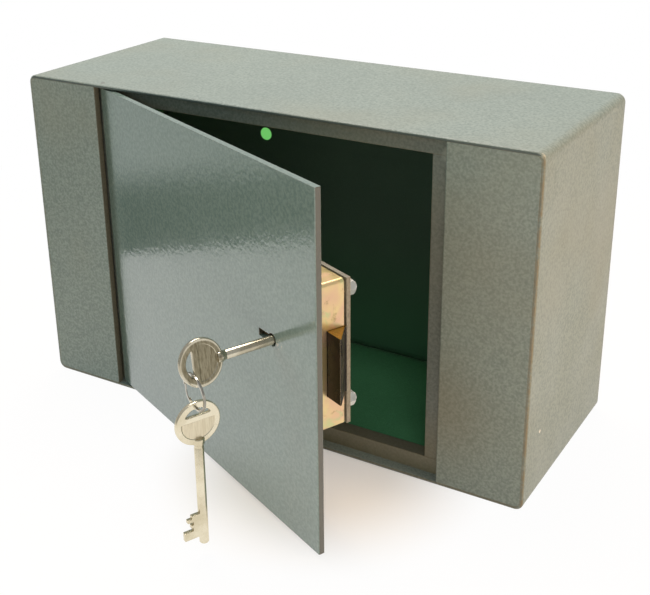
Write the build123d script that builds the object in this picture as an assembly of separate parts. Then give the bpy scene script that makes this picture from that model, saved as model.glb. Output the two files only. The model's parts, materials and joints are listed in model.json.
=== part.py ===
from build123d import *
import math
import os

# Wall-mounted day safe, door ajar, key in the lock. Millimetres, +Z up.
# X runs along the front to the right, Y runs from the front towards the wall.
# Origin: centre of the wall-fixing pattern, on the rear face.

# Cabinet
WIDTH = 457.0
HEIGHT = 277.5
DEPTH = 175.0
SHEET = 2.4
BEND_RADIUS = 7.0
CHEEK_WIDTH = 71.1
CHEEK_THICKNESS = 6.0
EDGE_BREAK = 0.8

# Wall fixing
FIX_SPACING_X = 209.0
FIX_SPACING_Z = 121.0
FIX_HOLE = 12.7

# Angle frame round the opening
FRAME_SETBACK = 9.5
ANGLE_DEPTH = 13.0
ANGLE_THICKNESS = 3.0
FRAME_LAP = 13.4
JAMB_LAP = 14.2
JAMB_TUCK = 6.0

# Lining
FELT = 1.8
FELT_GAP = 0.3

# Door
DOOR_THICKNESS = 4.8
DOOR_SIDE_GAP = 2.1
DOOR_END_GAP = 1.3
DOOR_REAR_GAP = 0.3
DOOR_OPEN = 24.4
PIN_DIAMETER = 3.2
PIN_ENGAGEMENT = 8.0
PIN_CLEARANCE = 0.05
PIN_END_GAP = 1.0
WASHER_CLEARANCE = 0.1
WASHER_THICKNESS = 0.9
WASHER_DIAMETER = 5.0

# Lock case and cover
KEY_FROM_HINGE_EDGE = 256.5
KEY_HEIGHT = 148.7
BACKSET = 39.5
CASE_WIDTH = 92.0
CASE_BELOW_KEY = 58.4
CASE_HEIGHT = 109.8
CASE_DEPTH = 27.6
CASE_SHEET = 1.6
CASE_CORNER = 3.0
COVER_GAP = 2.0
COVER_THICKNESS = 3.2
STUD_DIAMETER = 6.0
STUD_INSET = 7.2
STUD_ABOVE_KEY = 40.6
STUD_BELOW_KEY = 43.9
STUD_PROUD = 2.6
PILLAR_FLATS = 8.6
NUT_FLATS = 10.0
NUT_THICKNESS = 5.0
STUD_WASHER_DIAMETER = 12.0
STUD_WASHER_THICKNESS = 1.4
FIT = 0.05

# Bolt and drawer
BOLT_BELOW_KEY = 32.5
BOLT_HEIGHT = 49.4
BOLT_NEAR = 18.4
BOLT_THICKNESS = 15.4
BOLT_PROUD = 14.9
BOLT_LAND = 1.4
BOLT_NOSE = 1.0
BOLT_THROW = 14.6
SLIDE_CLEARANCE = 0.25
SEAT_GAP = 0.3
BOLT_SHOULDER = 6.0
TAIL_THICKNESS = 1.9
TAIL_HEIGHT = 13.6
TAIL_END = 222.0
DRAWER_THICKNESS = 2.0
DRAWER_GAP = 0.1
DRAWER_LEFT = 222.5
DRAWER_RIGHT = 276.0
TALON_OFFSET = 6.7
TALON_WIDTH = 8.0
TALON_RISE = 9.3
HOOK_LENGTH = 4.0
HOOK_HEIGHT = 5.0
STUMP_OFFSET = 15.5
STUMP_SIZE = 4.6

# Levers
POST_DIAMETER = 6.0
POST_NECK = 4.0
POST_FROM_EDGE = 232.0
POST_ABOVE_KEY = 22.9
LEVER_COUNT = 5
LEVER_PITCH = 2.4
LEVER_THICKNESS = 1.8
LEVER_CLEARANCE = 0.4
LEVER_HUB_RADIUS = 6.6
LEVER_LIFT = 7.0
LEVER_RISE = 12.9
LEVER_TIP = 279.0
LEVER_TIP_SLOPE = 8.0
LEVER_TIP_DROP = 5.0
LEVER_BOLT_GAP = 1.2
BELLY_BEFORE_KEY = 6.0
BELLY_PAST_KEY = 8.0
BELLY_SLOPE = 6.0
GATE_SLACK = 0.5
GATE_MOUTH = 1.0
GATE_NOSE = 0.7
GATE_FLARE = 1.4
POCKET_SLACK = 0.4
POCKET_DROP = 0.6
LEVER_SPRING_WIDTH = 1.2
LEVER_SPRING_GAUGE = 0.4
LEVER_SPRING_RISE = 3.2
LEVER_SPRING_ROOT = 10.8
LEVER_SPRING_REACH = 4.0
LEVER_SPRING_BOW = 1.0

# Bolt spring
SPRING_DIAMETER = 8.0
SPRING_WIRE = 1.0
SPRING_TURNS = 6
SPRING_SIDES = 12
SPRING_BELOW_KEY = 27.2
SPRING_DEPTH = 26.0
ANCHOR_FROM_EDGE = 245.0
ANCHOR_LENGTH = 6.0
PEG_LENGTH = 5.0

# Keys
KEY_LENGTH = 112.5
BOW_LENGTH = 32.5
BOW_WIDTH = 33.8
BOW_THICKNESS = 3.0
BOW_RIM = 4.9
FIELD_RIM = 4.4
FIELD_TOP = 17.8
FIELD_DEPTH = 0.35
SLOT_CHORD = 19.4
SLOT_DEPTH = 5.4
SLOT_CORNER = 1.0
COLLAR_DIAMETER = 8.2
COLLAR_LENGTH = 5.2
COLLAR_OVERLAP = 4.6
COLLAR_BEVEL = 1.0
SHANK_DIAMETER = 6.8
SHANK_ROOT = 3.0
KEY_NOSE = 40.6
BIT_FROM_TIP = 6.9
BIT_THICKNESS = 3.2
TALON_STEP = 6.4
TALON_STEP_RADIUS = 15.2
LEVER_STEP_RADII = [9.2, 12.4, 8.0, 9.8, 8.4]
KEY_REST_TURN = 10.0
KEY_WORKING_TURN = 195.0
KEYHOLE_DIAMETER = 9.6
KEYHOLE_SLOT = 5.8
KEYHOLE_SLOT_EXTRA = 1.6
KEY_FIT = 0.08

# Split ring
RING_RADIUS = 13.2
RING_WIRE_WIDTH = 1.7
RING_WIRE_THICKNESS = 0.8
RING_COIL_OFFSET = 0.42
RING_FROM_CHORD = 1.3
RING_REST_GAP = 0.5
RING_LEAN = 4.0

# Derived planes of the cabinet
Y_FRONT = -DEPTH
Z_BASE = -HEIGHT / 2
X_OPENING = WIDTH / 2 - CHEEK_WIDTH
Y_FRAME = Y_FRONT + FRAME_SETBACK

# Derived planes of the closed door
DOOR_WIDTH = 2 * (X_OPENING - DOOR_SIDE_GAP)
DOOR_HEIGHT = HEIGHT - 2 * SHEET - 2 * DOOR_END_GAP
X_DOOR = -X_OPENING + DOOR_SIDE_GAP
Y_DOOR = Y_FRAME - DOOR_REAR_GAP - DOOR_THICKNESS
HINGE_X = X_DOOR + DOOR_THICKNESS / 2
HINGE_Y = Y_DOOR + DOOR_THICKNESS / 2

# Derived depths behind the door's front face
CASE_NEAR = DOOR_THICKNESS
CASE_FAR = CASE_NEAR + CASE_DEPTH
COVER_NEAR = CASE_FAR + COVER_GAP
COVER_FAR = COVER_NEAR + COVER_THICKNESS
CASE_RIGHT = KEY_FROM_HINGE_EDGE + BACKSET
CASE_LEFT = CASE_RIGHT - CASE_WIDTH
BOLT_FAR = BOLT_NEAR + BOLT_THICKNESS
TAIL_NEAR = BOLT_FAR - TAIL_THICKNESS
DRAWER_FAR = TAIL_NEAR - DRAWER_GAP
DRAWER_NEAR = DRAWER_FAR - DRAWER_THICKNESS
SHOULDER_RIGHT = CASE_RIGHT - CASE_SHEET - SLIDE_CLEARANCE
SHOULDER_LEFT = SHOULDER_RIGHT - BOLT_SHOULDER
TALON_RIGHT = KEY_FROM_HINGE_EDGE + TALON_OFFSET
BIT_LENGTH = TALON_STEP + LEVER_COUNT * LEVER_PITCH
BIT_FAR = KEY_NOSE - BIT_FROM_TIP
LEVER_FIRST = BIT_FAR - BIT_LENGTH + (LEVER_PITCH - LEVER_THICKNESS) / 2

# Derived heights in the lock, above the base
CASE_BOTTOM = KEY_HEIGHT - CASE_BELOW_KEY
STUD_TOP = KEY_HEIGHT + STUD_ABOVE_KEY
STUD_BOTTOM = KEY_HEIGHT - STUD_BELOW_KEY
BOLT_BOTTOM = KEY_HEIGHT - BOLT_BELOW_KEY
SPRING_HEIGHT = KEY_HEIGHT - SPRING_BELOW_KEY
POST_HEIGHT = KEY_HEIGHT + POST_ABOVE_KEY
TAIL_MIDDLE = POST_HEIGHT
TAIL_BOTTOM = TAIL_MIDDLE - TAIL_HEIGHT / 2
TAIL_TOP = TAIL_MIDDLE + TAIL_HEIGHT / 2
LEVER_TOP = POST_HEIGHT + LEVER_RISE
TALON_BOTTOM = KEY_HEIGHT + TALON_RISE


def block(x0, x1, y0, y1, z0, z1):
    """A rectangular solid between its low and high faces."""
    size = Box(x1 - x0, y1 - y0, z1 - z0, align=(Align.MIN, Align.MIN, Align.MIN))
    return Pos(x0, y0, z0) * size


def rod(diameter, length, start, axis):
    """A round bar from a start point along an axis given as a letter."""
    turn = {"x": Rot(0, 90, 0), "y": Rot(-90, 0, 0), "z": Rot(0, 0, 0)}[axis]
    bar = Cylinder(diameter / 2, length, align=(Align.CENTER, Align.CENTER, Align.MIN))
    return Pos(*start) * turn * bar


def in_door(x, depth, height):
    """A point of the closed door: from its hinge edge, behind its face, above the base."""
    return (X_DOOR + x, Y_DOOR + depth, Z_BASE + height)


def door_block(x0, x1, near, far, bottom, top):
    """A rectangular solid placed from the door's hinge edge, its face and the base."""
    low = in_door(x0, near, bottom)
    high = in_door(x1, far, top)
    return block(low[0], high[0], low[1], high[1], low[2], high[2])


def door_rod(diameter, near, far, x, height):
    """A round bar square to the door."""
    return rod(diameter, far - near, in_door(x, near, height), "y")


def door_profile(face, near, thickness):
    """A flat outline, drawn from the hinge edge and the base, made into a plate."""
    plate = extrude(face, thickness)
    return Pos(*in_door(0, near + thickness, 0)) * Rot(90, 0, 0) * plate


def swing(part):
    """Carries a door part from the closed door to the ajar door."""
    at_hinge = Pos(HINGE_X, HINGE_Y, 0)
    away = Pos(-HINGE_X, -HINGE_Y, 0)
    return at_hinge * Rot(0, 0, -DOOR_OPEN) * away * part


def one(part):
    """The single solid of a part, or its solids as a group."""
    solids = part.solids()
    return solids[0] if len(solids) == 1 else Compound(children=list(solids))


# Cabinet

def cabinet_outline(inset):
    """Front view of the folded body, inset from its outside."""
    outline = Rectangle(WIDTH - 2 * inset, HEIGHT - 2 * inset)
    return fillet(outline.vertices(), BEND_RADIUS - inset)


def upright(face, y0, y1):
    """A front-view outline extruded from one depth to another."""
    return Pos(0, y1, 0) * Rot(90, 0, 0) * extrude(face, y1 - y0)


def body_wrap():
    shell = upright(cabinet_outline(0) - cabinet_outline(SHEET), Y_FRONT, 0)
    outer_rim = shell.faces().sort_by(Axis.Y)[0].outer_wire().edges()
    shell = chamfer(outer_rim, EDGE_BREAK)
    pin_hole = PIN_DIAMETER + 2 * PIN_CLEARANCE
    return shell - rod(pin_hole, HEIGHT, (HINGE_X, HINGE_Y, Z_BASE), "z")


def back_plate():
    plate = upright(cabinet_outline(SHEET), -SHEET, 0)
    for x in (-FIX_SPACING_X / 2, FIX_SPACING_X / 2):
        for z in (-FIX_SPACING_Z / 2, FIX_SPACING_Z / 2):
            plate -= rod(FIX_HOLE, SHEET, (x, -SHEET, z), "y")
    return plate


def cheek(side):
    width = CHEEK_WIDTH - SHEET
    strip = Pos(side * (X_OPENING + width / 2), 0) * Rectangle(width, HEIGHT)
    plate = upright(cabinet_outline(SHEET) & strip, Y_FRONT, Y_FRONT + CHEEK_THICKNESS)
    inner = [e for e in plate.edges().filter_by(Axis.Z) if abs(abs(e.center().X) - X_OPENING) < 0.01]
    inner_front = sorted(inner, key=lambda e: e.center().Y)[0]
    return fillet([inner_front], EDGE_BREAK)


def frame_rail(side):
    """Angle along the top or the bottom: one leg faces the door, one runs back."""
    outside = side * (HEIGHT / 2 - SHEET)
    inside = outside - side * FRAME_LAP
    reach = X_OPENING + JAMB_TUCK
    low, high = sorted((outside, inside))
    leg = block(-reach, reach, Y_FRAME, Y_FRAME + ANGLE_THICKNESS, low, high)
    low, high = sorted((inside, inside + side * ANGLE_THICKNESS))
    return leg + block(-reach, reach, Y_FRAME, Y_FRAME + ANGLE_DEPTH, low, high)


def frame_jamb(side):
    """Angle up one side, butted between the two rails."""
    half = HEIGHT / 2 - SHEET - FRAME_LAP
    inside = side * (X_OPENING - JAMB_LAP)
    low, high = sorted((inside, side * (X_OPENING + JAMB_TUCK)))
    leg = block(low, high, Y_FRAME, Y_FRAME + ANGLE_THICKNESS, -half, half)
    low, high = sorted((inside, inside + side * ANGLE_THICKNESS))
    return leg + block(low, high, Y_FRAME, Y_FRAME + ANGLE_DEPTH, -half, half)


def hinge_pins():
    length = SHEET + DOOR_END_GAP + PIN_ENGAGEMENT
    low = rod(PIN_DIAMETER, length, (HINGE_X, HINGE_Y, Z_BASE), "z")
    high = rod(PIN_DIAMETER, length, (HINGE_X, HINGE_Y, -Z_BASE - length), "z")
    return Compound(children=[low.solids()[0], high.solids()[0]])


def hinge_washer():
    seat = (HINGE_X, HINGE_Y, Z_BASE + SHEET)
    disc = rod(WASHER_DIAMETER, WASHER_THICKNESS, seat, "z")
    return disc - rod(PIN_DIAMETER + 2 * WASHER_CLEARANCE, WASHER_THICKNESS, seat, "z")


def felts():
    side = WIDTH / 2 - SHEET - FELT_GAP
    base = Z_BASE + SHEET + FELT_GAP
    top = -Z_BASE - SHEET - BEND_RADIUS
    rear = -SHEET - FELT_GAP
    front = Y_FRAME + ANGLE_DEPTH + FELT_GAP
    inner = rear - FELT - FELT_GAP
    floor_top = base + FELT
    ease = BEND_RADIUS - SHEET
    return {
        "felt_back": block(-side + ease, side - ease, rear - FELT, rear, floor_top + FELT_GAP, top),
        "felt_floor": block(-side + ease, side - ease, front, rear, base, floor_top),
        "felt_left": block(-side, -side + FELT, front, inner, base + ease, top),
        "felt_right": block(side - FELT, side, front, inner, base + ease, top),
    }


# Door

def keyhole_cut(near, far):
    """The round hole for the shank with its slot for the bit, towards the hinge."""
    hole = door_rod(KEYHOLE_DIAMETER, near, far, KEY_FROM_HINGE_EDGE, KEY_HEIGHT)
    half = KEYHOLE_SLOT / 2
    reach = TALON_STEP_RADIUS + KEYHOLE_SLOT_EXTRA
    slot = door_block(
        KEY_FROM_HINGE_EDGE - reach, KEY_FROM_HINGE_EDGE, near, far, KEY_HEIGHT - half, KEY_HEIGHT + half
    )
    return hole + slot


def door_plate():
    bottom = SHEET + DOOR_END_GAP
    plate = door_block(DOOR_THICKNESS / 2, DOOR_WIDTH, 0, DOOR_THICKNESS, bottom, bottom + DOOR_HEIGHT)
    edges = plate.edges().filter_by(Axis.Z).sort_by(Axis.X)[-2:]
    plate = fillet(edges, EDGE_BREAK)
    plate += rod(DOOR_THICKNESS, DOOR_HEIGHT, (HINGE_X, HINGE_Y, Z_BASE + bottom), "z")
    hole = PIN_DIAMETER + 2 * PIN_CLEARANCE
    depth = PIN_ENGAGEMENT + PIN_END_GAP
    plate -= rod(hole, depth, (HINGE_X, HINGE_Y, Z_BASE + bottom), "z")
    plate -= rod(hole, depth, (HINGE_X, HINGE_Y, Z_BASE + bottom + DOOR_HEIGHT - depth), "z")
    return plate - keyhole_cut(0, DOOR_THICKNESS)


def stud_places():
    """The four lock studs, from the hinge edge and above the base."""
    for x in (CASE_LEFT + STUD_INSET, CASE_RIGHT - STUD_INSET):
        for height in (STUD_BOTTOM, STUD_TOP):
            yield x, height


def at_studs(make):
    """One copy of a part on each stud, as a group of separate solids."""
    return Compound(children=[make(x, height).solids()[0] for x, height in stud_places()])


def lock_case():
    """Tray with its open side to the cover, and a notch in its rim for the bolt."""
    middle = Pos(CASE_LEFT + CASE_WIDTH / 2, CASE_BOTTOM + CASE_HEIGHT / 2)
    outline = middle * Rectangle(CASE_WIDTH, CASE_HEIGHT)
    outline = fillet(outline.vertices(), CASE_CORNER)
    tray = door_profile(outline, CASE_NEAR, CASE_DEPTH)
    tray -= door_profile(offset(outline, -CASE_SHEET), CASE_NEAR + CASE_SHEET, CASE_DEPTH - CASE_SHEET)
    tray -= door_block(
        CASE_RIGHT - CASE_SHEET,
        CASE_RIGHT,
        BOLT_NEAR - SLIDE_CLEARANCE,
        CASE_FAR,
        BOLT_BOTTOM - SLIDE_CLEARANCE,
        BOLT_BOTTOM + BOLT_HEIGHT + SLIDE_CLEARANCE,
    )
    for x, height in stud_places():
        tray -= door_rod(STUD_DIAMETER + 2 * FIT, CASE_NEAR, CASE_NEAR + CASE_SHEET, x, height)
    post = (POST_FROM_EDGE, POST_HEIGHT)
    tray -= door_rod(POST_DIAMETER + 2 * FIT, CASE_NEAR, CASE_NEAR + CASE_SHEET, *post)
    return tray - keyhole_cut(CASE_NEAR, CASE_NEAR + CASE_SHEET)


def lock_cover():
    plate = door_block(
        CASE_LEFT, CASE_RIGHT, COVER_NEAR, COVER_FAR, CASE_BOTTOM, CASE_BOTTOM + CASE_HEIGHT
    )
    for x, height in stud_places():
        plate -= door_rod(STUD_DIAMETER + 2 * FIT, COVER_NEAR, COVER_FAR, x, height)
    post = (POST_FROM_EDGE, POST_HEIGHT)
    plate -= door_rod(POST_NECK + 2 * FIT, COVER_NEAR, COVER_FAR, *post)
    return plate - door_rod(
        SHANK_DIAMETER + 2 * KEY_FIT, COVER_NEAR, COVER_FAR, KEY_FROM_HINGE_EDGE, KEY_HEIGHT
    )


def lock_stud(x, height):
    end = COVER_FAR + STUD_WASHER_THICKNESS + NUT_THICKNESS + STUD_PROUD
    return door_rod(STUD_DIAMETER, DOOR_THICKNESS, end, x, height)


def hexagon_bar(flats, near, far, x, height):
    """Hexagonal bar square to the door, with a flat at its top and bottom."""
    outline = Pos(x, height) * RegularPolygon(flats / 2, 6, major_radius=False)
    return door_profile(outline, near, far - near)


def pillar(x, height):
    """Hexagonal stand-off that keeps the cover off the case."""
    near = CASE_NEAR + CASE_SHEET
    bar = hexagon_bar(PILLAR_FLATS, near, COVER_NEAR, x, height)
    return bar - door_rod(STUD_DIAMETER + 2 * FIT, near, COVER_NEAR, x, height)


def stud_washer(x, height):
    far = COVER_FAR + STUD_WASHER_THICKNESS
    disc = door_rod(STUD_WASHER_DIAMETER, COVER_FAR, far, x, height)
    return disc - door_rod(STUD_DIAMETER + 2 * FIT, COVER_FAR, far, x, height)


def stud_nut(x, height):
    near = COVER_FAR + STUD_WASHER_THICKNESS
    nut = hexagon_bar(NUT_FLATS, near, near + NUT_THICKNESS, x, height)
    return nut - door_rod(STUD_DIAMETER + 2 * FIT, near, near + NUT_THICKNESS, x, height)


def lever_post():
    post = door_rod(POST_DIAMETER, CASE_NEAR, COVER_NEAR, POST_FROM_EDGE, POST_HEIGHT)
    return post + door_rod(POST_NECK, COVER_NEAR, COVER_FAR, POST_FROM_EDGE, POST_HEIGHT)


# Bolt and drawer

def guide_slot(near, far):
    """Clearance for the lever post over the whole throw."""
    radius = POST_DIAMETER / 2 + SLIDE_CLEARANCE
    slot = door_block(
        POST_FROM_EDGE, POST_FROM_EDGE + BOLT_THROW, near, far, POST_HEIGHT - radius, POST_HEIGHT + radius
    )
    slot += door_rod(2 * radius, near, far, POST_FROM_EDGE, POST_HEIGHT)
    return slot + door_rod(2 * radius, near, far, POST_FROM_EDGE + BOLT_THROW, POST_HEIGHT)


def slam_bolt():
    """Bevelled head, flat towards the door, with a thin tail over the drawer."""
    tip = CASE_RIGHT + BOLT_PROUD
    section = Polyline(
        (SHOULDER_LEFT, BOLT_NEAR),
        (tip, BOLT_NEAR),
        (tip, BOLT_NEAR + BOLT_NOSE),
        (CASE_RIGHT + BOLT_NOSE, BOLT_FAR - BOLT_LAND),
        (CASE_RIGHT + BOLT_NOSE, BOLT_FAR),
        (SHOULDER_LEFT, BOLT_FAR),
        close=True,
    )
    head = Pos(*in_door(0, 0, BOLT_BOTTOM)) * extrude(make_face(section), BOLT_HEIGHT)
    web = door_block(SHOULDER_LEFT, SHOULDER_RIGHT, TAIL_NEAR, BOLT_FAR, KEY_HEIGHT, TAIL_TOP)
    tail = door_block(TAIL_END, SHOULDER_RIGHT, TAIL_NEAR, BOLT_FAR, TAIL_BOTTOM, TAIL_TOP)
    bolt = head + web + tail - guide_slot(TAIL_NEAR, BOLT_FAR)
    window_left = TALON_RIGHT - SLIDE_CLEARANCE
    window_right = TALON_RIGHT + HOOK_LENGTH + BOLT_THROW
    half = HOOK_HEIGHT / 2 + SLIDE_CLEARANCE
    return bolt - door_block(
        window_left, window_right, TAIL_NEAR, BOLT_FAR, TAIL_MIDDLE - half, TAIL_MIDDLE + half
    )


def latch_drawer():
    """Plate with the talon that the key pushes, the hook that draws the bolt and the stump."""
    plate = door_block(DRAWER_LEFT, DRAWER_RIGHT, DRAWER_NEAR, DRAWER_FAR, TAIL_BOTTOM, TAIL_TOP)
    plate += door_block(
        TALON_RIGHT - TALON_WIDTH, TALON_RIGHT, DRAWER_NEAR, DRAWER_FAR, TALON_BOTTOM, TAIL_BOTTOM
    )
    plate -= guide_slot(DRAWER_NEAR, DRAWER_FAR)
    half = HOOK_HEIGHT / 2
    plate += door_block(
        TALON_RIGHT, TALON_RIGHT + HOOK_LENGTH, DRAWER_FAR, BOLT_FAR, TAIL_MIDDLE - half, TAIL_MIDDLE + half
    )
    middle = KEY_FROM_HINGE_EDGE + STUMP_OFFSET
    half = STUMP_SIZE / 2
    return plate + door_block(
        middle - half, middle + half, LEVER_FIRST, DRAWER_NEAR, TAIL_MIDDLE - half, TAIL_MIDDLE + half
    )


def lever_depth(index):
    return LEVER_FIRST + index * LEVER_PITCH


def lever(index):
    """Flat lever: hub on the post, belly over the key, gate for the stump."""
    turn_to_top = 180.0 - KEY_REST_TURN
    working_lift = math.radians(LEVER_LIFT) * turn_to_top / KEY_WORKING_TURN
    rise = (KEY_FROM_HINGE_EDGE - POST_FROM_EDGE) * math.sin(working_lift)
    belly = KEY_HEIGHT + LEVER_STEP_RADII[index] - rise + LEVER_CLEARANCE
    belly_left = KEY_FROM_HINGE_EDGE - BELLY_BEFORE_KEY
    belly_right = KEY_FROM_HINGE_EDGE + BELLY_PAST_KEY
    under = BOLT_BOTTOM + BOLT_HEIGHT + LEVER_BOLT_GAP
    outline = Polyline(
        (POST_FROM_EDGE, POST_HEIGHT - LEVER_HUB_RADIUS),
        (belly_left - BELLY_SLOPE, POST_HEIGHT - LEVER_HUB_RADIUS),
        (belly_left, belly),
        (belly_right, belly),
        (belly_right + BELLY_SLOPE, under),
        (LEVER_TIP, under),
        (LEVER_TIP, LEVER_TOP - LEVER_TIP_DROP),
        (LEVER_TIP - LEVER_TIP_SLOPE, LEVER_TOP),
        (belly_left, LEVER_TOP),
        (POST_FROM_EDGE, POST_HEIGHT + LEVER_HUB_RADIUS),
        close=True,
    )
    face = make_face(outline) + Pos(POST_FROM_EDGE, POST_HEIGHT) * Circle(LEVER_HUB_RADIUS)
    face -= Pos(POST_FROM_EDGE, POST_HEIGHT) * Circle(POST_DIAMETER / 2 + FIT)
    return door_profile(face - gate(), lever_depth(index), LEVER_THICKNESS)


def gate():
    """Two pockets joined by the gate that the stump passes once the lever is up."""
    middle = KEY_FROM_HINGE_EDGE + STUMP_OFFSET
    end = middle - BOLT_THROW
    half = STUMP_SIZE / 2 + GATE_SLACK
    lift = math.sin(math.radians(LEVER_LIFT))
    roof = TAIL_MIDDLE + half
    floor = TAIL_MIDDLE - half - (middle - POST_FROM_EDGE) * lift
    end_roof = roof - (end - POST_FROM_EDGE) * lift + GATE_MOUTH
    end_floor = TAIL_MIDDLE - half - (end - POST_FROM_EDGE) * lift - POCKET_DROP
    outline = Polyline(
        (middle + half, roof),
        (middle - half, roof),
        (middle - half - GATE_MOUTH, roof - GATE_NOSE),
        (end + half, end_roof),
        (end + half - GATE_MOUTH, end_roof + GATE_FLARE),
        (end - half - POCKET_SLACK, end_roof + GATE_FLARE),
        (end - half - POCKET_SLACK, end_floor),
        (middle + half, floor),
        close=True,
    )
    return make_face(outline)


def lever_spring(index):
    """Leaf spring bowed between the case and the lever's top edge."""
    left = CASE_LEFT + CASE_SHEET + LEVER_SPRING_ROOT
    right = KEY_FROM_HINGE_EDGE + LEVER_SPRING_REACH
    rest = LEVER_TOP + LEVER_SPRING_GAUGE + SEAT_GAP
    arc = ThreePointArc(
        (left, rest + LEVER_SPRING_RISE), ((left + right) / 2, rest + LEVER_SPRING_BOW), (right, rest)
    )
    face = make_face(
        [arc, Line(arc @ 1, arc @ 1 - (0, LEVER_SPRING_GAUGE))]
        + [ThreePointArc(
            arc @ 1 - (0, LEVER_SPRING_GAUGE),
            arc @ 0.5 - (0, LEVER_SPRING_GAUGE),
            arc @ 0 - (0, LEVER_SPRING_GAUGE),
        )]
        + [Line(arc @ 0 - (0, LEVER_SPRING_GAUGE), arc @ 0)]
    )
    inset = (LEVER_THICKNESS - LEVER_SPRING_WIDTH) / 2
    return door_profile(face, lever_depth(index) + inset, LEVER_SPRING_WIDTH)


def spring_length():
    return SHOULDER_LEFT - ANCHOR_FROM_EDGE - ANCHOR_LENGTH - 2 * SEAT_GAP


def bolt_spring():
    """Compression spring between its anchor and the bolt's head, each turn in short straights."""
    length = spring_length() - SPRING_WIRE
    mean = (SPRING_DIAMETER - SPRING_WIRE) / 2
    steps = SPRING_TURNS * SPRING_SIDES
    points = []
    for step in range(steps + 1):
        angle = 2 * math.pi * step / SPRING_SIDES
        points.append((mean * math.cos(angle), mean * math.sin(angle), length * step / steps))
    path = Polyline(*points)
    section = Plane(path @ 0, z_dir=path % 0) * Rectangle(SPRING_WIRE, SPRING_WIRE)
    wire = sweep(section, path, transition=Transition.RIGHT)
    start = ANCHOR_FROM_EDGE + ANCHOR_LENGTH + SEAT_GAP + SPRING_WIRE / 2
    return Pos(*in_door(start, SPRING_DEPTH, SPRING_HEIGHT)) * Rot(0, 90, 0) * wire


def spring_anchor():
    """Block riveted to the tray, which takes the spring's push."""
    near = CASE_NEAR + CASE_SHEET
    half = SPRING_DIAMETER / 2
    left = ANCHOR_FROM_EDGE
    lug = door_block(
        left, left + ANCHOR_LENGTH, near, SPRING_DEPTH + half, SPRING_HEIGHT - half, SPRING_HEIGHT + half
    )
    peg = SPRING_DIAMETER - 2 * SPRING_WIRE - 2 * SLIDE_CLEARANCE
    start = in_door(left + ANCHOR_LENGTH, SPRING_DEPTH, SPRING_HEIGHT)
    return lug + rod(peg, PEG_LENGTH, start, "x")


# Keys

def bow_slot():
    """The D-shaped slot near the bow's outer rim, its straight side to the shank."""
    outer = BOW_LENGTH - BOW_RIM
    chord = outer - SLOT_DEPTH
    half = SLOT_CHORD / 2
    arc = ThreePointArc((-half, chord), (0, outer), (half, chord))
    face = make_face([arc, Line(arc @ 1, arc @ 0)])
    return fillet(face.vertices(), SLOT_CORNER)


def bow_field():
    """The sunk field of the bow, inside its rim and below the bar along the slot."""
    inside = Pos(0, BOW_LENGTH / 2) * Ellipse(BOW_WIDTH / 2 - FIELD_RIM, BOW_LENGTH / 2 - FIELD_RIM)
    return inside & Pos(0, FIELD_TOP / 2) * Rectangle(BOW_WIDTH, FIELD_TOP)


def key_blank():
    """Key standing on its tip: bow in the XZ plane, bit towards -X, tip at the origin."""
    shank_top = KEY_LENGTH - BOW_LENGTH
    bow = Pos(0, BOW_LENGTH / 2) * Ellipse(BOW_WIDTH / 2, BOW_LENGTH / 2)
    plate = extrude(bow - bow_slot(), BOW_THICKNESS)
    plate -= extrude(bow_field(), FIELD_DEPTH)
    plate -= Pos(0, 0, BOW_THICKNESS - FIELD_DEPTH) * extrude(bow_field(), FIELD_DEPTH)
    plate = Pos(0, BOW_THICKNESS / 2, shank_top) * Rot(90, 0, 0) * plate
    shank = rod(SHANK_DIAMETER, shank_top + SHANK_ROOT, (0, 0, 0), "z")
    collar = rod(COLLAR_DIAMETER, COLLAR_LENGTH, (0, 0, shank_top - COLLAR_LENGTH + COLLAR_OVERLAP), "z")
    collar = chamfer(collar.edges().filter_by(GeomType.CIRCLE).sort_by(Axis.Z)[0], COLLAR_BEVEL)
    key = plate + shank + collar
    half = BIT_THICKNESS / 2
    key += block(-TALON_STEP_RADIUS, 0, -half, half, BIT_FROM_TIP, BIT_FROM_TIP + TALON_STEP)
    for step, radius in enumerate(reversed(LEVER_STEP_RADII)):
        low = BIT_FROM_TIP + TALON_STEP + step * LEVER_PITCH
        key += block(-radius, 0, -half, half, low, low + LEVER_PITCH)
    return key


def lock_key():
    """The key in the lock, a quarter turn and a little more past its slot, bit downwards."""
    tip = in_door(KEY_FROM_HINGE_EDGE, KEY_NOSE, KEY_HEIGHT)
    lying = Rot(0, -KEY_REST_TURN, 0) * Rot(90, 0, 0) * Rot(0, 0, 90) * key_blank()
    return Pos(*tip) * lying


def ring_edge_in_slot():
    """How far the ring's outer edge stands from the bow's middle, along and across the key."""
    chord = BOW_LENGTH - BOW_RIM - SLOT_DEPTH
    outer = chord + RING_FROM_CHORD + RING_COIL_OFFSET + RING_WIRE_THICKNESS / 2
    half = SLOT_CHORD / 2
    radius = (half ** 2 + SLOT_DEPTH ** 2) / (2 * SLOT_DEPTH)
    centre = BOW_LENGTH - BOW_RIM - radius
    return chord + RING_FROM_CHORD, math.sqrt(radius ** 2 - (outer - centre) ** 2)


def ring_top():
    """The middle of the wire where the ring hangs in the slot of the lock key."""
    along, across = ring_edge_in_slot()
    turn = math.radians(KEY_REST_TURN)
    depth = KEY_NOSE - (KEY_LENGTH - BOW_LENGTH) - along
    across -= RING_REST_GAP + RING_WIRE_WIDTH / 2
    middle = in_door(KEY_FROM_HINGE_EDGE, depth, KEY_HEIGHT)
    return middle[0] + across * math.sin(turn), middle[1], middle[2] - across * math.cos(turn)


def ring_bottom():
    """The middle of the wire where the spare key hangs."""
    top = ring_top()
    lean = math.radians(RING_LEAN)
    reach = 2 * RING_RADIUS
    return top[0], top[1] + reach * math.sin(lean), top[2] - reach * math.cos(lean)


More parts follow.
